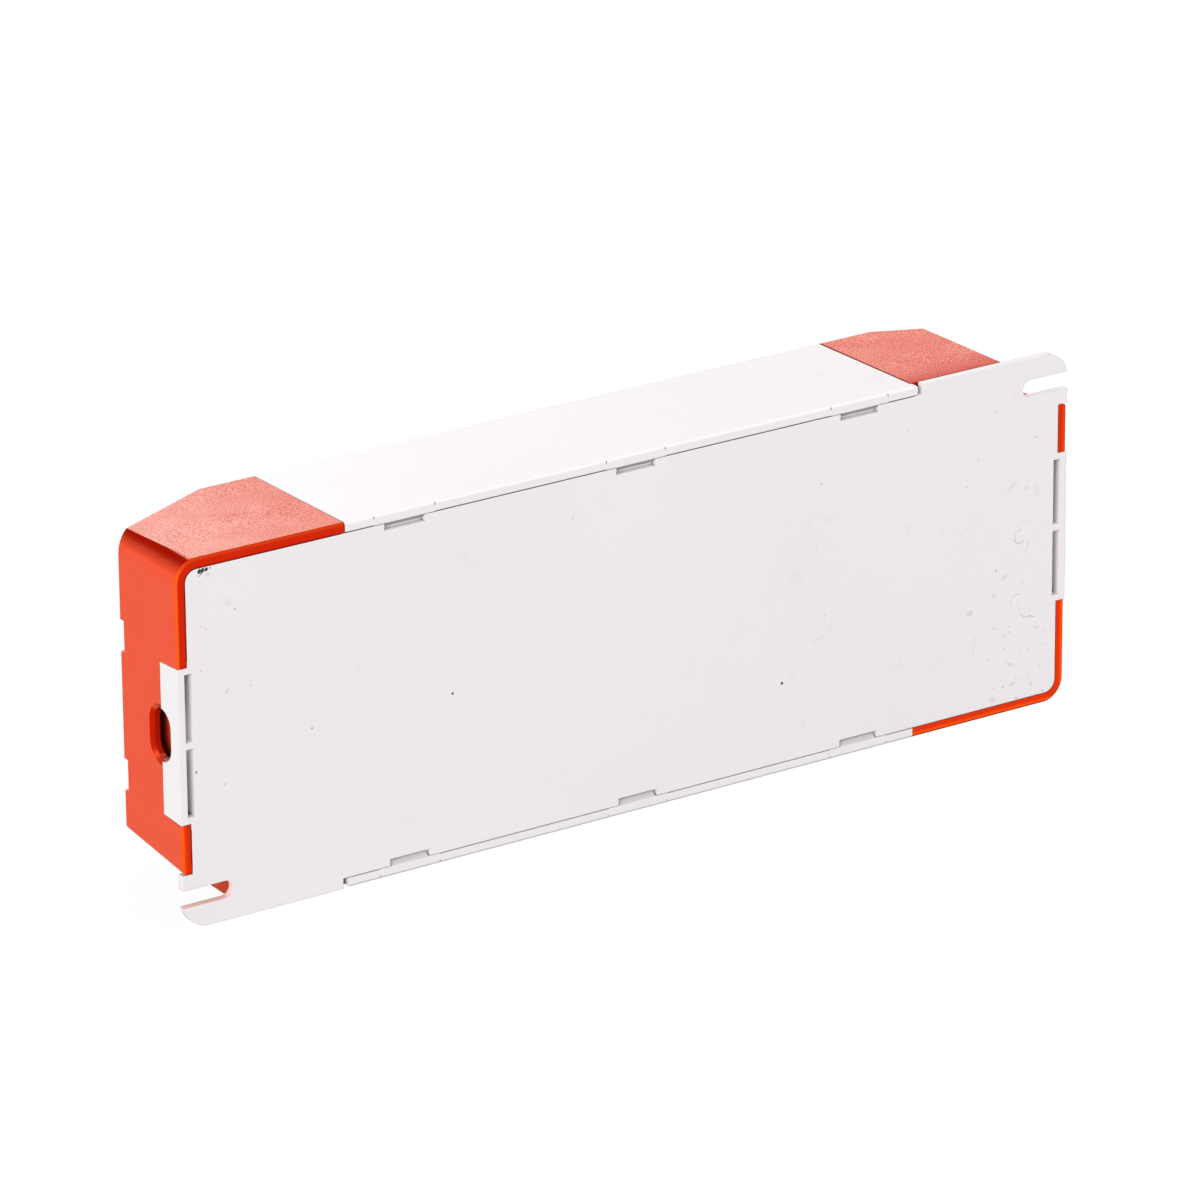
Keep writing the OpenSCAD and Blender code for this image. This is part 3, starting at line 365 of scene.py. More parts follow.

    # painted shade in the gaps and pockets of the mounting face, where ambient occlusion is low
    clear = addNode(tree, "ShaderNodeAmbientOcclusion", {"samples": 8}, {
        "Distance": look["creviceReach"],
    })
    shut = addNode(tree, "ShaderNodeMapRange", {}, {
        "Value": clear.outputs["AO"], "From Min": 0.2, "From Max": 0.8,
        "To Min": look["gapShade"], "To Max": 0.0,
    })
    shallow = addNode(tree, "ShaderNodeMapRange", {}, {
        "Value": along.outputs["Y"], "From Min": part["faceY"] + look["gapDepth"][0],
        "From Max": part["faceY"] + look["gapDepth"][1],
        "To Min": 1.0, "To Max": 0.0,
    })
    outwards = addNode(tree, "ShaderNodeMath", {"operation": "ABSOLUTE"}, {0: along.outputs["X"]})
    beside = addNode(tree, "ShaderNodeMapRange", {}, {
        "Value": outwards, "From Min": part["seamX"] - 0.5 * mm, "From Max": part["seamX"] + 0.5 * mm,
        "To Min": 1.0, "To Max": look["gapBesideCap"],
    })
    shadeInGaps = addNode(tree, "ShaderNodeMath", {"operation": "MULTIPLY"}, {0: shut, 1: shallow})
    shadeInGaps = addNode(tree, "ShaderNodeMath", {"operation": "MULTIPLY"}, {0: shadeInGaps, 1: beside})
    upper = addNode(tree, "ShaderNodeMapRange", {}, {
        "Value": along.outputs["Z"], "From Min": part["middleZ"] - 2 * mm,
        "From Max": part["middleZ"] + 2 * mm,
    })
    full = addNode(tree, "ShaderNodeMapRange", {}, {
        "Value": upper, "To Min": look["lowGap"], "To Max": 1.0,
    })
    shadeInGaps = addNode(tree, "ShaderNodeMath", {"operation": "MULTIPLY"}, {0: shadeInGaps, 1: full})
    colour = addNode(tree, "ShaderNodeMix", {"data_type": "RGBA"}, {
        0: shadeInGaps, 6: colour, 7: linear(look["gap"]),
    }).outputs[2]

    # painted shade on the pocket ramps, which look to the front and to the middle of the part
    shape = addNode(tree, "ShaderNodeNewGeometry", {}, {})
    facing = addNode(tree, "ShaderNodeSeparateXYZ", {}, {"Vector": shape.outputs["True Normal"]})
    front = addNode(tree, "ShaderNodeMapRange", {}, {
        "Value": facing.outputs["Y"], "From Min": -0.45, "From Max": -0.25, "To Min": 1.0, "To Max": 0.0,
    })
    down = addNode(tree, "ShaderNodeMapRange", {}, {
        "Value": facing.outputs["Z"], "From Min": -0.45, "From Max": -0.25,
        "To Min": look["rampShade"][0], "To Max": 0.0,
    })
    up = addNode(tree, "ShaderNodeMapRange", {}, {
        "Value": facing.outputs["Z"], "From Min": 0.25, "From Max": 0.45,
        "To Min": 0.0, "To Max": look["rampShade"][1],
    })
    ramp = addNode(tree, "ShaderNodeMix", {}, {0: upper, 2: up, 3: down})
    ramp = addNode(tree, "ShaderNodeMath", {"operation": "MULTIPLY"}, {0: ramp, 1: front})
    colour = addNode(tree, "ShaderNodeMix", {"data_type": "RGBA"}, {
        0: ramp, 6: colour, 7: linear(look["creviceShade"]),
    }).outputs[2]

    # painted red reflection on the plate's edge beside a rim: past the seam, away from the tab and from the
    # ears' strips
    wall = addNode(tree, "ShaderNodeMath", {"operation": "SUBTRACT"}, {0: shallow, 1: front})
    across = addNode(tree, "ShaderNodeMath", {"operation": "SUBTRACT"}, {
        0: along.outputs["Z"], 1: part["middleZ"],
    })
    offTab = addNode(tree, "ShaderNodeMath", {"operation": "ABSOLUTE"}, {0: across})
    offTab = addNode(tree, "ShaderNodeMath", {"operation": "GREATER_THAN"}, {
        0: offTab, 1: part["tabHalf"],
    })
    hand = addNode(tree, "ShaderNodeMath", {"operation": "SIGN"}, {0: along.outputs["X"]})
    strip = addNode(tree, "ShaderNodeMath", {"operation": "MULTIPLY"}, {0: across, 1: hand})
    offEar = addNode(tree, "ShaderNodeMath", {"operation": "LESS_THAN"}, {
        0: strip, 1: part["earStrip"],
    })
    past = addNode(tree, "ShaderNodeMath", {"operation": "GREATER_THAN"}, {
        0: outwards, 1: part["seamX"] + 0.5 * mm,
    })
    rimSide = addNode(tree, "ShaderNodeMath", {"operation": "MULTIPLY", "use_clamp": True}, {
        0: wall, 1: offTab,
    })
    for bound in (offEar, past):
        rimSide = addNode(tree, "ShaderNodeMath", {"operation": "MULTIPLY"}, {0: rimSide, 1: bound})
    colour = addNode(tree, "ShaderNodeMix", {"data_type": "RGBA"}, {
        0: rimSide, 6: colour, 7: linear(look["rimReflection"]),
    }).outputs[2]
    # painted paler reflection on the walls of the input end's ear slot
    inSlot = addNode(tree, "ShaderNodeMath", {"operation": "COMPARE"}, {
        0: strip, 1: part["slotAt"], 2: part["slotHalf"],
    })
    inSlot = addNode(tree, "ShaderNodeMath", {"operation": "MULTIPLY", "use_clamp": True}, {
        0: inSlot, 1: wall,
    })
    inputEnd = addNode(tree, "ShaderNodeMath", {"operation": "LESS_THAN"}, {
        0: along.outputs["X"], 1: -part["seamX"] - 0.5 * mm,
    })
    inSlot = addNode(tree, "ShaderNodeMath", {"operation": "MULTIPLY"}, {0: inSlot, 1: inputEnd})
    colour = addNode(tree, "ShaderNodeMix", {"data_type": "RGBA"}, {
        0: inSlot, 6: colour, 7: linear(look["slotReflection"]),
    }).outputs[2]

    # fine grain on softly rounded edges
    grain = addNode(tree, "ShaderNodeTexNoise", {}, {
        "Vector": place, "Scale": 1 / look["grain"], "Detail": 2.0,
    })
    rounded = addNode(tree, "ShaderNodeBevel", {"samples": 6}, {"Radius": look["edgeRadius"]})
    relief = addNode(tree, "ShaderNodeBump", {}, {
        "Strength": 0.12, "Distance": 0.03 * mm, "Height": grain.outputs["Fac"], "Normal": rounded,
    })
    gloss = addNode(tree, "ShaderNodeMapRange", {}, {
        "Value": cloud.outputs["Fac"], "To Min": look["roughness"] - 0.05, "To Max": look["roughness"] + 0.05,
    })
    skin = addNode(tree, "ShaderNodeBsdfPrincipled", {}, {
        "Base Color": colour, "Roughness": gloss, "IOR": look["ior"], "Normal": relief,
    })
    addNode(tree, "ShaderNodeOutputMaterial", {}, {"Surface": skin})
    return material


# Orange caps: the same plastic from a spark-eroded mould. The grain catches a pale haze at a
# flat angle, as sheen and as a painted pale tone on the long sides. The rim against the base is smooth
# and deeper in colour, with painted light and shade on it and on its bevel, and the upright round
# corner has a painted dark red shade streak.
orangeCap = {
    "name": "polycarbonateOrangeGrained",
    "nodes": ["input_cap", "output_cap"],
    "colour": "#EA4510",
    "colourDeep": "#E0380B",
    "sideDeep": "#C8300C",
    "sidePaintedSheen": "#DE6240",
    "mottle": 0.33 * mm,         # drawn coarser than the grain itself, so that it shows
    "endMottle": 0.3,            # share of it on the end walls
    "rimShaded": "#CC260C",
    "rimInner": "#E2350E",
    "rimLit": "#FC5412",
    "bevel": "#F6561A",
    "bevelTop": "#C4380F",
    "cutWallShade": "#B41C06",
    "rimTone": (3.5, 14.0),      # how fast the painted light on the rim brightens along x and downwards
    "rimOuter": (-1.2 * mm, -0.7 * mm),  # from the outline, where the outer edge's painted light begins
    "cornerShade": "#8E0C02",
    "streakShade": 0.96,
    "streakFrom": (0.36, 0.86),  # how far the corner has turned to the long side, from 0 to 1
    "streakTo": (0.945, 0.985),
    "stripShade": 0.6,
    "stripReach": (1.8 * mm, 10 * mm),
    "seamShadeLine": 0.85,
    "speck": "#5A1608",
    "speckSize": 0.03,           # share of its cell
    "speckDark": 0.45,
    "creviceShade": "#640A04",
    "gapShade": 0.85,
    "gapBesideRim": 0.1,
    "partingShade": 0.9,
    "creviceReach": 0.5 * mm,
    "hollow": "#960802",
    "hollowReach": 30 * mm,
    "roughness": 0.5,
    "shine": (0.12, 0.42),       # on the end walls, on the long sides
    "edgeRadius": 0.4 * mm,
    "grain": 0.45 * mm,          # real grain is about 0.15 mm, drawn coarser so that it shows
    "grainDepth": 0.1 * mm,
    "speckCell": 9 * mm,
    "haze": (0.3, 0.7),          # the same for the pale haze
    "hazeThins": (1.32, 0.69),
    "hazeDots": (0.35, 1.65),
    "blotch": 7 * mm,
}


def makeOrangeCap(look):
    material, tree = newMaterial(look["name"])
    place = addNode(tree, "ShaderNodeTexCoord", {}, {}).outputs["Object"]
    along = addNode(tree, "ShaderNodeSeparateXYZ", {}, {"Vector": place})
    shape = addNode(tree, "ShaderNodeNewGeometry", {}, {})
    facing = addNode(tree, "ShaderNodeSeparateXYZ", {}, {"Vector": shape.outputs["True Normal"]})

    # rim and bevel look towards -y and lie beside the mounting face; faces behind them that look
    # the same way are cut walls, such as the cable entry's
    rim = addNode(tree, "ShaderNodeMapRange", {}, {
        "Value": facing.outputs["Y"], "From Min": -0.95, "From Max": -0.85, "To Min": 1.0, "To Max": 0.0,
    })
    edge = addNode(tree, "ShaderNodeMapRange", {}, {
        "Value": facing.outputs["Y"], "From Min": -0.6, "From Max": -0.5, "To Min": 1.0, "To Max": 0.0,
    })
    cut = addNode(tree, "ShaderNodeMapRange", {}, {
        "Value": along.outputs["Y"], "From Min": part["faceY"] + 0.6 * mm,
        "From Max": part["faceY"] + 0.7 * mm,
    })
    grain = addNode(tree, "ShaderNodeTexNoise", {}, {
        "Vector": place, "Scale": 1 / look["grain"], "Detail": 3.0, "Roughness": 0.6,
    })
    tint = addNode(tree, "ShaderNodeMapRange", {}, {
        "Value": grain.outputs["Fac"], "From Min": 0.3, "From Max": 0.7, "To Min": 0.0, "To Max": 0.7,
    })
    colour = addNode(tree, "ShaderNodeMix", {"data_type": "RGBA"}, {
        0: tint, 6: linear(look["colour"]), 7: linear(look["colourDeep"]),
    })

    # mottle of the grain in fine dots with slow blotches; its pale tone is a painted sheen, full on the long
    # sides and in part on the end walls
    dots = addNode(tree, "ShaderNodeTexNoise", {}, {
        "Vector": place, "Scale": 1 / look["mottle"], "Detail": 2.0,
    })
    blotch = addNode(tree, "ShaderNodeTexNoise", {}, {
        "Vector": place, "Scale": 1 / look["blotch"], "Detail": 2.0,
    })
    worn = addNode(tree, "ShaderNodeMath", {"operation": "MULTIPLY_ADD"}, {
        0: blotch.outputs["Fac"], 1: 0.2, 2: dots.outputs["Fac"],
    })
    sheenMottle = addNode(tree, "ShaderNodeMapRange", {}, {"Value": worn, "From Min": 0.42, "From Max": 0.78})
    sideColour = addNode(tree, "ShaderNodeMix", {"data_type": "RGBA"}, {
        0: sheenMottle, 6: linear(look["sideDeep"]), 7: linear(look["sidePaintedSheen"]),
    })

    # painted dark red shade streak on the upright round corner, sharp beside the long side and fading round
    # to the end
    turned = addNode(tree, "ShaderNodeSeparateXYZ", {}, {"Vector": shape.outputs["Normal"]})
    sideways = addNode(tree, "ShaderNodeMath", {"operation": "ABSOLUTE"}, {0: turned.outputs["Z"]})
    longSide = addNode(tree, "ShaderNodeMapRange", {}, {
        "Value": sideways, "From Min": 0.6, "From Max": 0.98,
    })
    leave = addNode(tree, "ShaderNodeMapRange", {}, {
        "Value": sideways, "From Min": look["streakTo"][0], "From Max": look["streakTo"][1],
        "To Min": 1.0, "To Max": 0.0,
    })
    fade = addNode(tree, "ShaderNodeMapRange", {}, {
        "Value": sideways, "From Min": look["streakFrom"][0], "From Max": look["streakFrom"][1],
        "To Min": 0.0, "To Max": look["streakShade"],
    })
    upright = addNode(tree, "ShaderNodeMapRange", {}, {
        "Value": facing.outputs["Y"], "From Min": -0.5, "From Max": -0.3, "To Min": 0.0, "To Max": 1.0,
    })
    mottled = addNode(tree, "ShaderNodeMapRange", {}, {
        "Value": longSide, "To Min": look["endMottle"], "To Max": 1.0,
    })
    colour = addNode(tree, "ShaderNodeMix", {"data_type": "RGBA"}, {
        0: mottled, 6: colour.outputs[2], 7: sideColour.outputs[2],
    })
    cornerShade = addNode(tree, "ShaderNodeMath", {"operation": "MULTIPLY"}, {0: leave, 1: fade})
    cornerShade = addNode(tree, "ShaderNodeMath", {"operation": "MULTIPLY"}, {0: cornerShade, 1: upright})
    colour = addNode(tree, "ShaderNodeMix", {"data_type": "RGBA"}, {
        0: cornerShade, 6: colour.outputs[2], 7: linear(look["cornerShade"]),
    })

    # the long side behind an ear's strip is shaded next to it; that side has x (z - middle) > 0
    above = addNode(tree, "ShaderNodeMath", {"operation": "SUBTRACT"}, {
        0: along.outputs["Z"], 1: part["middleZ"],
    })
    above = addNode(tree, "ShaderNodeMath", {"operation": "MULTIPLY"}, {
        0: above, 1: along.outputs["X"],
    })
    above = addNode(tree, "ShaderNodeMath", {"operation": "GREATER_THAN"}, {0: above, 1: 0.0})
    close = addNode(tree, "ShaderNodeMapRange", {}, {
        "Value": along.outputs["Y"], "From Min": part["faceY"] + look["stripReach"][0],
        "From Max": part["faceY"] + look["stripReach"][1],
        "To Min": look["stripShade"], "To Max": 0.0,
    })
    shaded = addNode(tree, "ShaderNodeMath", {"operation": "MULTIPLY"}, {0: above, 1: close})
    shaded = addNode(tree, "ShaderNodeMath", {"operation": "MULTIPLY"}, {0: shaded, 1: longSide})
    colour = addNode(tree, "ShaderNodeMix", {"data_type": "RGBA"}, {
        0: shaded, 6: colour.outputs[2], 7: linear(look["cutWallShade"]),
    })

    # painted shade: dark line on the output cap's edge where it meets the cover
    seam = addNode(tree, "ShaderNodeMapRange", {}, {
        "Value": along.outputs["X"], "From Min": part["seamX"] + 0.2 * mm,
        "From Max": part["seamX"] + 0.4 * mm,
        "To Min": look["seamShadeLine"], "To Max": 0.0,
    })
    right = addNode(tree, "ShaderNodeMath", {"operation": "GREATER_THAN"}, {
        0: along.outputs["X"], 1: 0.0,
    })
    seam = addNode(tree, "ShaderNodeMath", {"operation": "MULTIPLY"}, {0: seam, 1: right})
    seam = addNode(tree, "ShaderNodeMath", {"operation": "MULTIPLY"}, {0: seam, 1: longSide})
    colour = addNode(tree, "ShaderNodeMix", {"data_type": "RGBA"}, {
        0: seam, 6: colour.outputs[2], 7: linear(look["creviceShade"]),
    })

    # painted light on the rim: brighter towards the lower right, by a x + b (middle - z), and at its outer
    # edge
    lower = addNode(tree, "ShaderNodeMath", {"operation": "MULTIPLY_ADD"}, {
        0: along.outputs["Z"], 1: -look["rimTone"][1], 2: look["rimTone"][1] * part["middleZ"],
    })
    tone = addNode(tree, "ShaderNodeMath", {"operation": "MULTIPLY_ADD"}, {
        0: along.outputs["X"], 1: look["rimTone"][0], 2: lower,
    })
    bright = addNode(tree, "ShaderNodeMapRange", {}, {"Value": tone, "From Min": -0.5, "From Max": 0.5})
    fromEnd = addNode(tree, "ShaderNodeMath", {"operation": "ABSOLUTE"}, {0: along.outputs["X"]})
    fromEnd = addNode(tree, "ShaderNodeMath", {"operation": "SUBTRACT"}, {0: fromEnd, 1: part["endX"]})
    fromLow = addNode(tree, "ShaderNodeMath", {"operation": "SUBTRACT"}, {
        0: part["lowZ"], 1: along.outputs["Z"],
    })
    margin = addNode(tree, "ShaderNodeMath", {"operation": "MAXIMUM"}, {0: fromEnd, 1: fromLow})
    outer = addNode(tree, "ShaderNodeMapRange", {}, {
        "Value": margin, "From Min": look["rimOuter"][0], "From Max": look["rimOuter"][1],
    })
    lit = addNode(tree, "ShaderNodeMix", {"data_type": "RGBA"}, {
        0: outer, 6: linear(look["rimInner"]), 7: linear(look["rimLit"]),
    })
    rimColour = addNode(tree, "ShaderNodeMix", {"data_type": "RGBA"}, {
        0: bright, 6: linear(look["rimShaded"]), 7: lit.outputs[2],
    })
    # painted light and shade on the bevel: lit where it looks down, shaded where it looks up
    upwards = addNode(tree, "ShaderNodeMapRange", {}, {
        "Value": facing.outputs["Z"], "From Min": 0.2, "From Max": 0.6,
    })
    bevelColour = addNode(tree, "ShaderNodeMix", {"data_type": "RGBA"}, {
        0: upwards, 6: linear(look["bevel"]), 7: linear(look["bevelTop"]),
    })
    front = addNode(tree, "ShaderNodeMix", {"data_type": "RGBA"}, {
        0: rim, 6: bevelColour.outputs[2], 7: rimColour.outputs[2],
    })
    # painted shade on cut walls, such as the cable entry's
    front = addNode(tree, "ShaderNodeMix", {"data_type": "RGBA"}, {
        0: cut, 6: front.outputs[2], 7: linear(look["cutWallShade"]),
    })
    colour = addNode(tree, "ShaderNodeMix", {"data_type": "RGBA"}, {
        0: edge, 6: colour.outputs[2], 7: front.outputs[2],
    })

    # a few dark specks
    cells = addNode(tree, "ShaderNodeTexVoronoi", {}, {"Vector": place, "Scale": 1 / look["speckCell"]})
    pick = addNode(tree, "ShaderNodeSeparateColor", {}, {"Color": cells.outputs["Color"]})
    size = addNode(tree, "ShaderNodeMath", {"operation": "MULTIPLY"}, {0: pick, 1: look["speckSize"]})
    speck = addNode(tree, "ShaderNodeMath", {"operation": "LESS_THAN"}, {
        0: cells.outputs["Distance"], 1: size,
    })
    faint = addNode(tree, "ShaderNodeMath", {"operation": "MULTIPLY"}, {0: speck, 1: look["speckDark"]})
    colour = addNode(tree, "ShaderNodeMix", {"data_type": "RGBA"}, {
        0: faint, 6: colour.outputs[2], 7: linear(look["speck"]),
    })

    # painted shade, dark red, in narrow gaps, on faces that look to the middle and in the hollow behind the
    # cable entry, but not in the gap beside the part of the rim with painted light
    clear = addNode(tree, "ShaderNodeAmbientOcclusion", {"samples": 8}, {
        "Distance": look["creviceReach"],
    })
    shut = addNode(tree, "ShaderNodeMapRange", {}, {
        "Value": clear.outputs["AO"], "From Min": 0.2, "From Max": 0.8,
        "To Min": look["gapShade"], "To Max": 0.0,
    })
    wide = addNode(tree, "ShaderNodeAmbientOcclusion", {"samples": 8}, {
        "Distance": look["hollowReach"],
    })
    hollow = addNode(tree, "ShaderNodeMapRange", {}, {
        "Value": wide.outputs["AO"], "From Min": 0.06, "From Max": 0.3, "To Min": 1.0, "To Max": 0.0,
    })
    inward = addNode(tree, "ShaderNodeMath", {"operation": "MULTIPLY"}, {
        0: facing.outputs["X"], 1: along.outputs["X"],
    })
    parting = addNode(tree, "ShaderNodeMapRange", {}, {
        "Value": inward, "From Min": -50 * mm, "From Max": -30 * mm,
        "To Min": look["partingShade"], "To Max": 0.0,
    })
    dark = addNode(tree, "ShaderNodeMath", {"operation": "MAXIMUM"}, {0: shut, 1: parting})
    openGap = addNode(tree, "ShaderNodeMath", {"operation": "SUBTRACT", "use_clamp": True}, {
        0: bright, 1: cut,
    })
    kept = addNode(tree, "ShaderNodeMapRange", {}, {
        "Value": openGap, "From Min": 0.4, "From Max": 0.8,
        "To Min": 1.0, "To Max": look["gapBesideRim"],
    })
    dark = addNode(tree, "ShaderNodeMath", {"operation": "MULTIPLY"}, {0: dark, 1: kept})
    colour = addNode(tree, "ShaderNodeMix", {"data_type": "RGBA"}, {
        0: dark, 6: colour.outputs[2], 7: linear(look["creviceShade"]),
    })
    colour = addNode(tree, "ShaderNodeMix", {"data_type": "RGBA"}, {
        0: hollow, 6: colour.outputs[2], 7: linear(look["hollow"]),
    })
    dark = addNode(tree, "ShaderNodeMath", {"operation": "MAXIMUM"}, {0: dark, 1: hollow})

    # shine and haze are off on smooth and dark faces
    smooth = addNode(tree, "ShaderNodeMath", {"operation": "MULTIPLY", "use_clamp": True}, {
        0: cornerShade, 1: 1.3,
    })
    smooth = addNode(tree, "ShaderNodeMath", {"operation": "MAXIMUM"}, {0: smooth, 1: edge})
    smooth = addNode(tree, "ShaderNodeMath", {"operation": "MAXIMUM"}, {0: smooth, 1: dark})
    smooth = addNode(tree, "ShaderNodeMath", {"operation": "MAXIMUM"}, {0: smooth, 1: shaded})
    smooth = addNode(tree, "ShaderNodeMath", {"operation": "MAXIMUM"}, {0: smooth, 1: seam})
    rounded = addNode(tree, "ShaderNodeBevel", {"samples": 6}, {"Radius": look["edgeRadius"]})
    dull = addNode(tree, "ShaderNodeMapRange", {}, {"Value": smooth, "To Min": 1.0, "To Max": 0.0})
    shine = addNode(tree, "ShaderNodeMapRange", {}, {
        "Value": longSide, "To Min": look["shine"][0], "To Max": look["shine"][1],
    })
    shine = addNode(tree, "ShaderNodeMath", {"operation": "MULTIPLY"}, {0: shine, 1: dull})
    haze = addNode(tree, "ShaderNodeMapRange", {}, {
        "Value": longSide, "To Min": look["haze"][0], "To Max": look["haze"][1],
    })
    haze = addNode(tree, "ShaderNodeMath", {"operation": "MULTIPLY"}, {0: haze, 1: dull})

    # the haze thins out from the input end to the seam, and it is dotted like the mottle
    thinning = addNode(tree, "ShaderNodeMapRange", {}, {
        "Value": along.outputs["X"], "From Min": 4 * mm - part["endX"], "From Max": -part["seamX"],
        "To Min": look["hazeThins"][0], "To Max": look["hazeThins"][1],
    })
    dotted = addNode(tree, "ShaderNodeMapRange", {}, {
        "Value": sheenMottle, "To Min": look["hazeDots"][0], "To Max": look["hazeDots"][1],
    })
    share = addNode(tree, "ShaderNodeMath", {"operation": "MULTIPLY"}, {0: thinning, 1: dotted})
    share = addNode(tree, "ShaderNodeMix", {}, {0: longSide, 2: 1.0, 3: share})
    haze = addNode(tree, "ShaderNodeMath", {"operation": "MULTIPLY"}, {0: haze, 1: share})
    shine = addNode(tree, "ShaderNodeMath", {"operation": "MULTIPLY"}, {0: shine, 1: share})
    depth = addNode(tree, "ShaderNodeMapRange", {}, {"Value": smooth, "To Min": 0.9, "To Max": 0.1})
    relief = addNode(tree, "ShaderNodeBump", {}, {
        "Strength": depth, "Distance": look["grainDepth"], "Height": grain.outputs["Fac"],
        "Normal": rounded,
    })
    skin = addNode(tree, "ShaderNodeBsdfPrincipled", {}, {
        "Base Color": colour.outputs[2], "Roughness": look["roughness"], "Specular IOR Level": shine,
        "Specular Tint": linear("#FFDDBE"),
        "Sheen Weight": haze, "Sheen Roughness": 0.45, "Sheen Tint": linear("#FFE9E2"),
        "Normal": relief,
    })
    addNode(tree, "ShaderNodeOutputMaterial", {}, {"Surface": skin})
    return material


# Inner pieces. Each look gives two tones that a noise mixes, a bump and the shader's own values.
# "stretch" draws the noise out along x, y or z, as wire turns, extruded metal and rolled foil are.
innerLooks = [
    # zinc plating: pale bluish metal with a slightly uneven shine
    {"name": "steelZincPlated", "nodes": ["cap_screws", "terminal_screws"], "tones": ("#C9CCCF", "#AEB3B8"),
     "metallic": 1.0, "roughness": 0.32, "ior": 1.5, "size": 0.8 * mm, "stretch": (1, 1, 1), "bump": 0.05},
    # glass-epoxy laminate under green solder mask: the weave shows through as a fine mottle
    {"name": "laminateSolderMask", "nodes": ["circuit_board"], "tones": ("#14502C", "#0E3F22"),
     "metallic": 0.0, "roughness": 0.35, "ior": 1.55, "size": 1.1 * mm, "stretch": (1, 1, 1), "bump": 0.1},
    # moulded polyamide: dull pale grey with flow marks
    {"name": "polyamideGreyMoulded", "nodes": ["input_terminal", "output_terminal"],
     "tones": ("#C6C8C9", "#B9BCBE"),
     "metallic": 0.0, "roughness": 0.5, "ior": 1.53, "size": 3 * mm, "stretch": (1, 1, 1), "bump": 0.05},
    # transfer-moulded epoxy: matt near-black with fine grit
    {"name": "epoxyBlackMoulded",
     "nodes": ["fuse", "bridge_rectifier", "switching_transistor", "output_rectifier", "optocoupler",
               "control_chip"],
     "tones": ("#262627", "#1A1A1B"),
     "metallic": 0.0, "roughness": 0.6, "ior": 1.55, "size": 0.4 * mm, "stretch": (1, 1, 1), "bump": 0.2},
    # dipped epoxy: glossy blue that runs a little uneven
    {"name": "epoxyBlueDipped", "nodes": ["varistor", "y_capacitor"], "tones": ("#2456B4", "#1C479B"),
     "metallic": 0.0, "roughness": 0.25, "ior": 1.55, "size": 3 * mm, "stretch": (1, 1, 1), "bump": 0.25},
    # polyester case: plain yellow with a dull skin
    {"name": "polyesterYellowCase", "nodes": ["x_capacitor"], "tones": ("#DDB52C", "#D0A722"),
     "metallic": 0.0, "roughness": 0.45, "ior": 1.57, "size": 2 * mm, "stretch": (1, 1, 1), "bump": 0.1},
    # sintered ferrite: dark grey ceramic with fine pits
    {"name": "ferriteSintered", "nodes": ["choke_core", "transformer_core", "output_choke_core"],
     "tones": ("#454548", "#343437"),
     "metallic": 0.0, "roughness": 0.55, "ior": 1.8, "size": 0.5 * mm, "stretch": (1, 1, 1), "bump": 0.3},
    # enamelled copper: the turns show as fine bright and dark lines
    {"name": "copperEnamelled", "nodes": ["choke_windings", "output_choke_winding"],
     "tones": ("#C87B3E", "#8E4A1E"),
     "metallic": 1.0, "roughness": 0.3, "ior": 1.5, "size": 0.8 * mm,
     "stretch": (0.12, 1, 0.12), "bump": 0.6},
    # shrink sleeve over a can: smooth dark blue film
    {"name": "sleevePolyesterDark", "nodes": ["bulk_capacitor", "output_capacitors"],
     "tones": ("#202A4C", "#1A2240"),
     "metallic": 0.0, "roughness": 0.28, "ior": 1.57, "size": 4 * mm, "stretch": (1, 0.3, 1), "bump": 0.08},
    # extruded aluminium: pale metal with die lines along its height
    {"name": "aluminiumExtruded", "nodes": ["primary_heat_sink", "secondary_heat_sink"],
     "tones": ("#D4D6D8", "#B6B9BC"),
     "metallic": 1.0, "roughness": 0.36, "ior": 1.5, "size": 0.5 * mm, "stretch": (1, 0.05, 1), "bump": 0.25},
    # polyester bobbin: warm ivory moulding
    {"name": "polyesterIvoryMoulded", "nodes": ["transformer_bobbin"], "tones": ("#E2D8BC", "#D8CCAC"),
     "metallic": 0.0, "roughness": 0.5, "ior": 1.57, "size": 2 * mm, "stretch": (1, 1, 1), "bump": 0.08},
    # polyester tape over the wire: glossy yellow film that shows the turns below
    {"name": "tapePolyesterYellow", "nodes": ["transformer_winding"], "tones": ("#E3B72B", "#CFA01C"),
     "metallic": 0.0, "roughness": 0.22, "ior": 1.57, "size": 1 * mm,
     "stretch": (0.15, 1, 0.15), "bump": 0.3},
    # dipped lacquer: dull tan with a slightly rough coat
    {"name": "lacquerTanDipped", "nodes": ["snubber_resistors"], "tones": ("#B99566", "#A98457"),
     "metallic": 0.0, "roughness": 0.45, "ior": 1.5, "size": 0.7 * mm, "stretch": (1, 1, 1), "bump": 0.15},
]


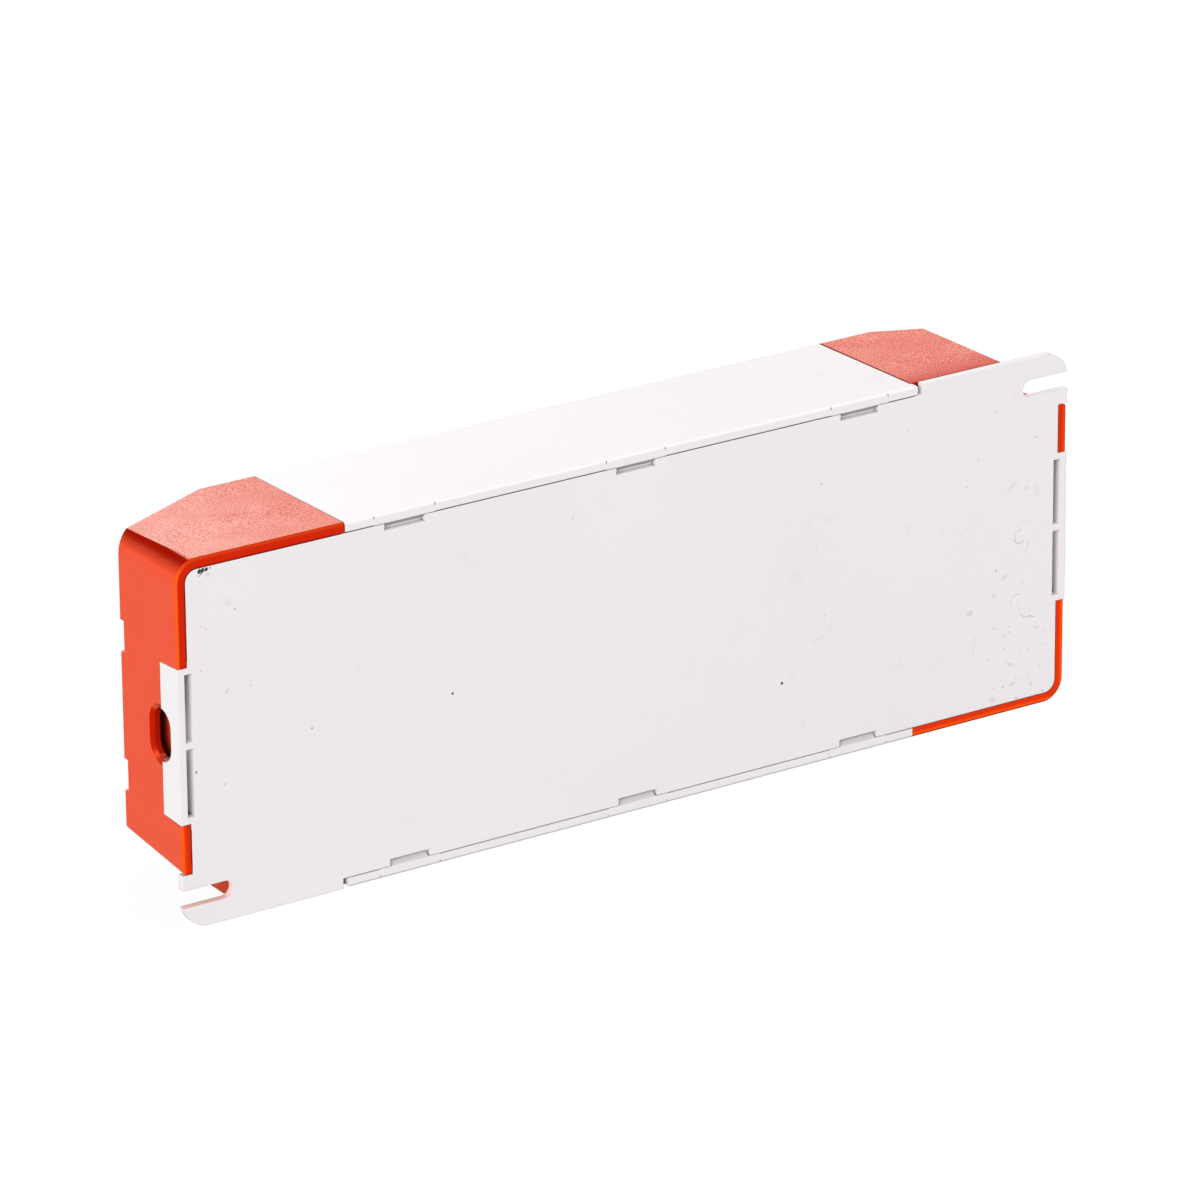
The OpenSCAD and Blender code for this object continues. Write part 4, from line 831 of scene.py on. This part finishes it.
def makeInnerLook(look):
    material, tree = newMaterial(look["name"])
    place = addNode(tree, "ShaderNodeTexCoord", {}, {}).outputs["Object"]
    drawn = addNode(tree, "ShaderNodeMapping", {}, {"Vector": place, "Scale": look["stretch"]})
    noise = addNode(tree, "ShaderNodeTexNoise", {}, {
        "Vector": drawn, "Scale": 1 / look["size"], "Detail": 4.0, "Roughness": 0.55,
    })
    colour = addNode(tree, "ShaderNodeMix", {"data_type": "RGBA"}, {
        0: noise.outputs["Fac"], 6: linear(look["tones"][0]), 7: linear(look["tones"][1]),
    })
    rough = addNode(tree, "ShaderNodeMapRange", {}, {
        "Value": noise.outputs["Fac"], "To Min": look["roughness"] - 0.08, "To Max": look["roughness"] + 0.08,
    })
    relief = addNode(tree, "ShaderNodeBump", {}, {
        "Strength": look["bump"], "Distance": 0.1 * mm, "Height": noise.outputs["Fac"],
    })
    skin = addNode(tree, "ShaderNodeBsdfPrincipled", {}, {
        "Base Color": colour.outputs[2], "Roughness": rough, "Metallic": look["metallic"],
        "IOR": look["ior"], "Normal": relief,
    })
    addNode(tree, "ShaderNodeOutputMaterial", {}, {"Surface": skin})
    return material


def dress(material, names):
    for name in names:
        slots = nodes[name].data.materials
        slots.clear()
        slots.append(material)


dress(makeWhiteHousing(whiteHousing), whiteHousing["nodes"])
dress(makeOrangeCap(orangeCap), orangeCap["nodes"])
for look in innerLooks:
    dress(makeInnerLook(look), look["nodes"])
print("materials on all pieces")

# Floor, world and lamps: a white studio with soft light from above, strong from the front left
# and weak from the front right and from behind.
studio = {
    "floorHalf": 4.0,
    "floorColour": "#B6B6B6",
    "floorGlow": 1.08,           # white that the camera sees on the lit floor
    "floorGlowShare": 0.88,      # the rest is the real surface, which keeps the shadow
    "ambient": 0.5,
    "background": "#FFFFFF",
    "lamps": [
        {"name": "topSoftbox", "at": (0.25, -0.1, 1.5), "size": 1.4, "watts": 6.4},
        {"name": "frontLeftSoftbox", "at": (-2.78, -1.85, 1.1), "size": 2.27, "watts": 106.6},
        {"name": "frontRightSoftbox", "at": (0.9, -1.0, 0.5), "size": 0.8, "watts": 3.5},
        {"name": "backSoftbox", "at": (0.25, 1.5, 0.72), "size": 1.1, "watts": 8.5},
    ],
    "aim": (0.0, 0.0, 0.036),
}


def seesBackdrop(tree):
    # 1 for rays from the camera, from gloss and through glass
    ray = addNode(tree, "ShaderNodeLightPath", {}, {})
    direct = addNode(tree, "ShaderNodeMath", {"operation": "MAXIMUM"}, {
        0: ray.outputs["Is Camera Ray"], 1: ray.outputs["Is Glossy Ray"],
    })
    return addNode(tree, "ShaderNodeMath", {"operation": "MAXIMUM"}, {
        0: direct, 1: ray.outputs["Is Transmission Ray"],
    }).outputs[0]


def buildFloor(look):
    # flat grid: x = u * half, y = v * half, z = 0
    steps = np.linspace(-1, 1, 9) * look["floorHalf"]
    gx, gy = np.meshgrid(steps, steps)
    points = np.stack([gx, gy, np.zeros_like(gx)], axis=-1).reshape(-1, 3)
    index = np.arange(81).reshape(9, 9)
    quads = np.stack([index[:-1, :-1], index[:-1, 1:], index[1:, 1:], index[1:, :-1]], axis=-1).reshape(-1, 4)
    mesh = bpy.data.meshes.new("studioFloor")
    mesh.from_pydata(points.tolist(), [], quads.tolist())
    floor = bpy.data.objects.new("studioFloor", mesh)
    bpy.context.scene.collection.objects.link(floor)
    material, tree = newMaterial("paperWhiteMatt")
    paper = addNode(tree, "ShaderNodeTexNoise", {}, {"Scale": 1 / (2 * mm), "Detail": 2.0})
    tone = addNode(tree, "ShaderNodeMapRange", {}, {
        "Value": paper.outputs["Fac"], "To Min": 0.98, "To Max": 1.0,
    })
    colour = addNode(tree, "ShaderNodeVectorMath", {"operation": "SCALE"}, {
        0: linear(look["floorColour"])[:3], "Scale": tone,
    })
    matt = addNode(tree, "ShaderNodeBsdfDiffuse", {}, {"Color": colour})
    glow = addNode(tree, "ShaderNodeEmission", {}, {
        "Color": linear(look["background"]), "Strength": look["floorGlow"],
    })
    share = addNode(tree, "ShaderNodeMath", {"operation": "MULTIPLY"}, {
        0: seesBackdrop(tree), 1: look["floorGlowShare"],
    })
    both = addNode(tree, "ShaderNodeMixShader", {}, {0: share, 1: matt, 2: glow})
    addNode(tree, "ShaderNodeOutputMaterial", {}, {"Surface": both})
    mesh.materials.append(material)


def buildLight(look):
    world = bpy.data.worlds.new("studioWorld")
    world.use_nodes = True
    tree = world.node_tree
    tree.nodes.clear()
    strength = addNode(tree, "ShaderNodeMapRange", {}, {
        "Value": seesBackdrop(tree), "To Min": look["ambient"], "To Max": 1.0,
    })
    sky = addNode(tree, "ShaderNodeBackground", {}, {
        "Color": linear(look["background"]), "Strength": strength,
    })
    addNode(tree, "ShaderNodeOutputWorld", {}, {"Surface": sky})
    bpy.context.scene.world = world
    for lamp in look["lamps"]:
        light = bpy.data.lights.new(lamp["name"], "AREA")
        light.shape = "SQUARE"
        light.size = lamp["size"]
        light.energy = lamp["watts"]
        item = bpy.data.objects.new(lamp["name"], light)
        item.location = lamp["at"]
        item.rotation_euler = (Vector(look["aim"]) - item.location).to_track_quat("-Z", "Y").to_euler()
        bpy.context.scene.collection.objects.link(item)


buildFloor(studio)
buildLight(studio)
print("floor and light set")

# Camera: long lens from the front left and above, aimed a little left of the middle.
viewpoint = {
    "azimuth": -33.642,
    "elevation": 21.271,
    "roll": -0.443,
    "distance": 1.5387,
    "aim": (-0.00831, -0.01575, 0.04453),
    "lens": 247.61,
    "sensor": 36.0,
}


def buildCamera(look):
    # back points from the aim to the camera; right and up are turned about it by the roll
    az, el, roll = (math.radians(look[k]) for k in ("azimuth", "elevation", "roll"))
    back = Vector((math.sin(az) * math.cos(el), -math.cos(az) * math.cos(el), math.sin(el)))
    right = Vector((math.cos(az), math.sin(az), 0))
    up = back.cross(right)
    turnedRight = right * math.cos(roll) + up * math.sin(roll)
    turnedUp = up * math.cos(roll) - right * math.sin(roll)
    camera = bpy.data.cameras.new("camera")
    camera.lens = look["lens"]
    camera.sensor_width = look["sensor"]
    camera.clip_start = 0.05
    camera.clip_end = 20
    item = bpy.data.objects.new("camera", camera)
    turn = Matrix((turnedRight, turnedUp, back)).transposed().to_4x4()
    item.matrix_world = Matrix.Translation(Vector(look["aim"]) + back * look["distance"]) @ turn
    bpy.context.scene.collection.objects.link(item)
    bpy.context.scene.camera = item


buildCamera(viewpoint)
bpy.context.scene.view_settings.view_transform = "Standard"
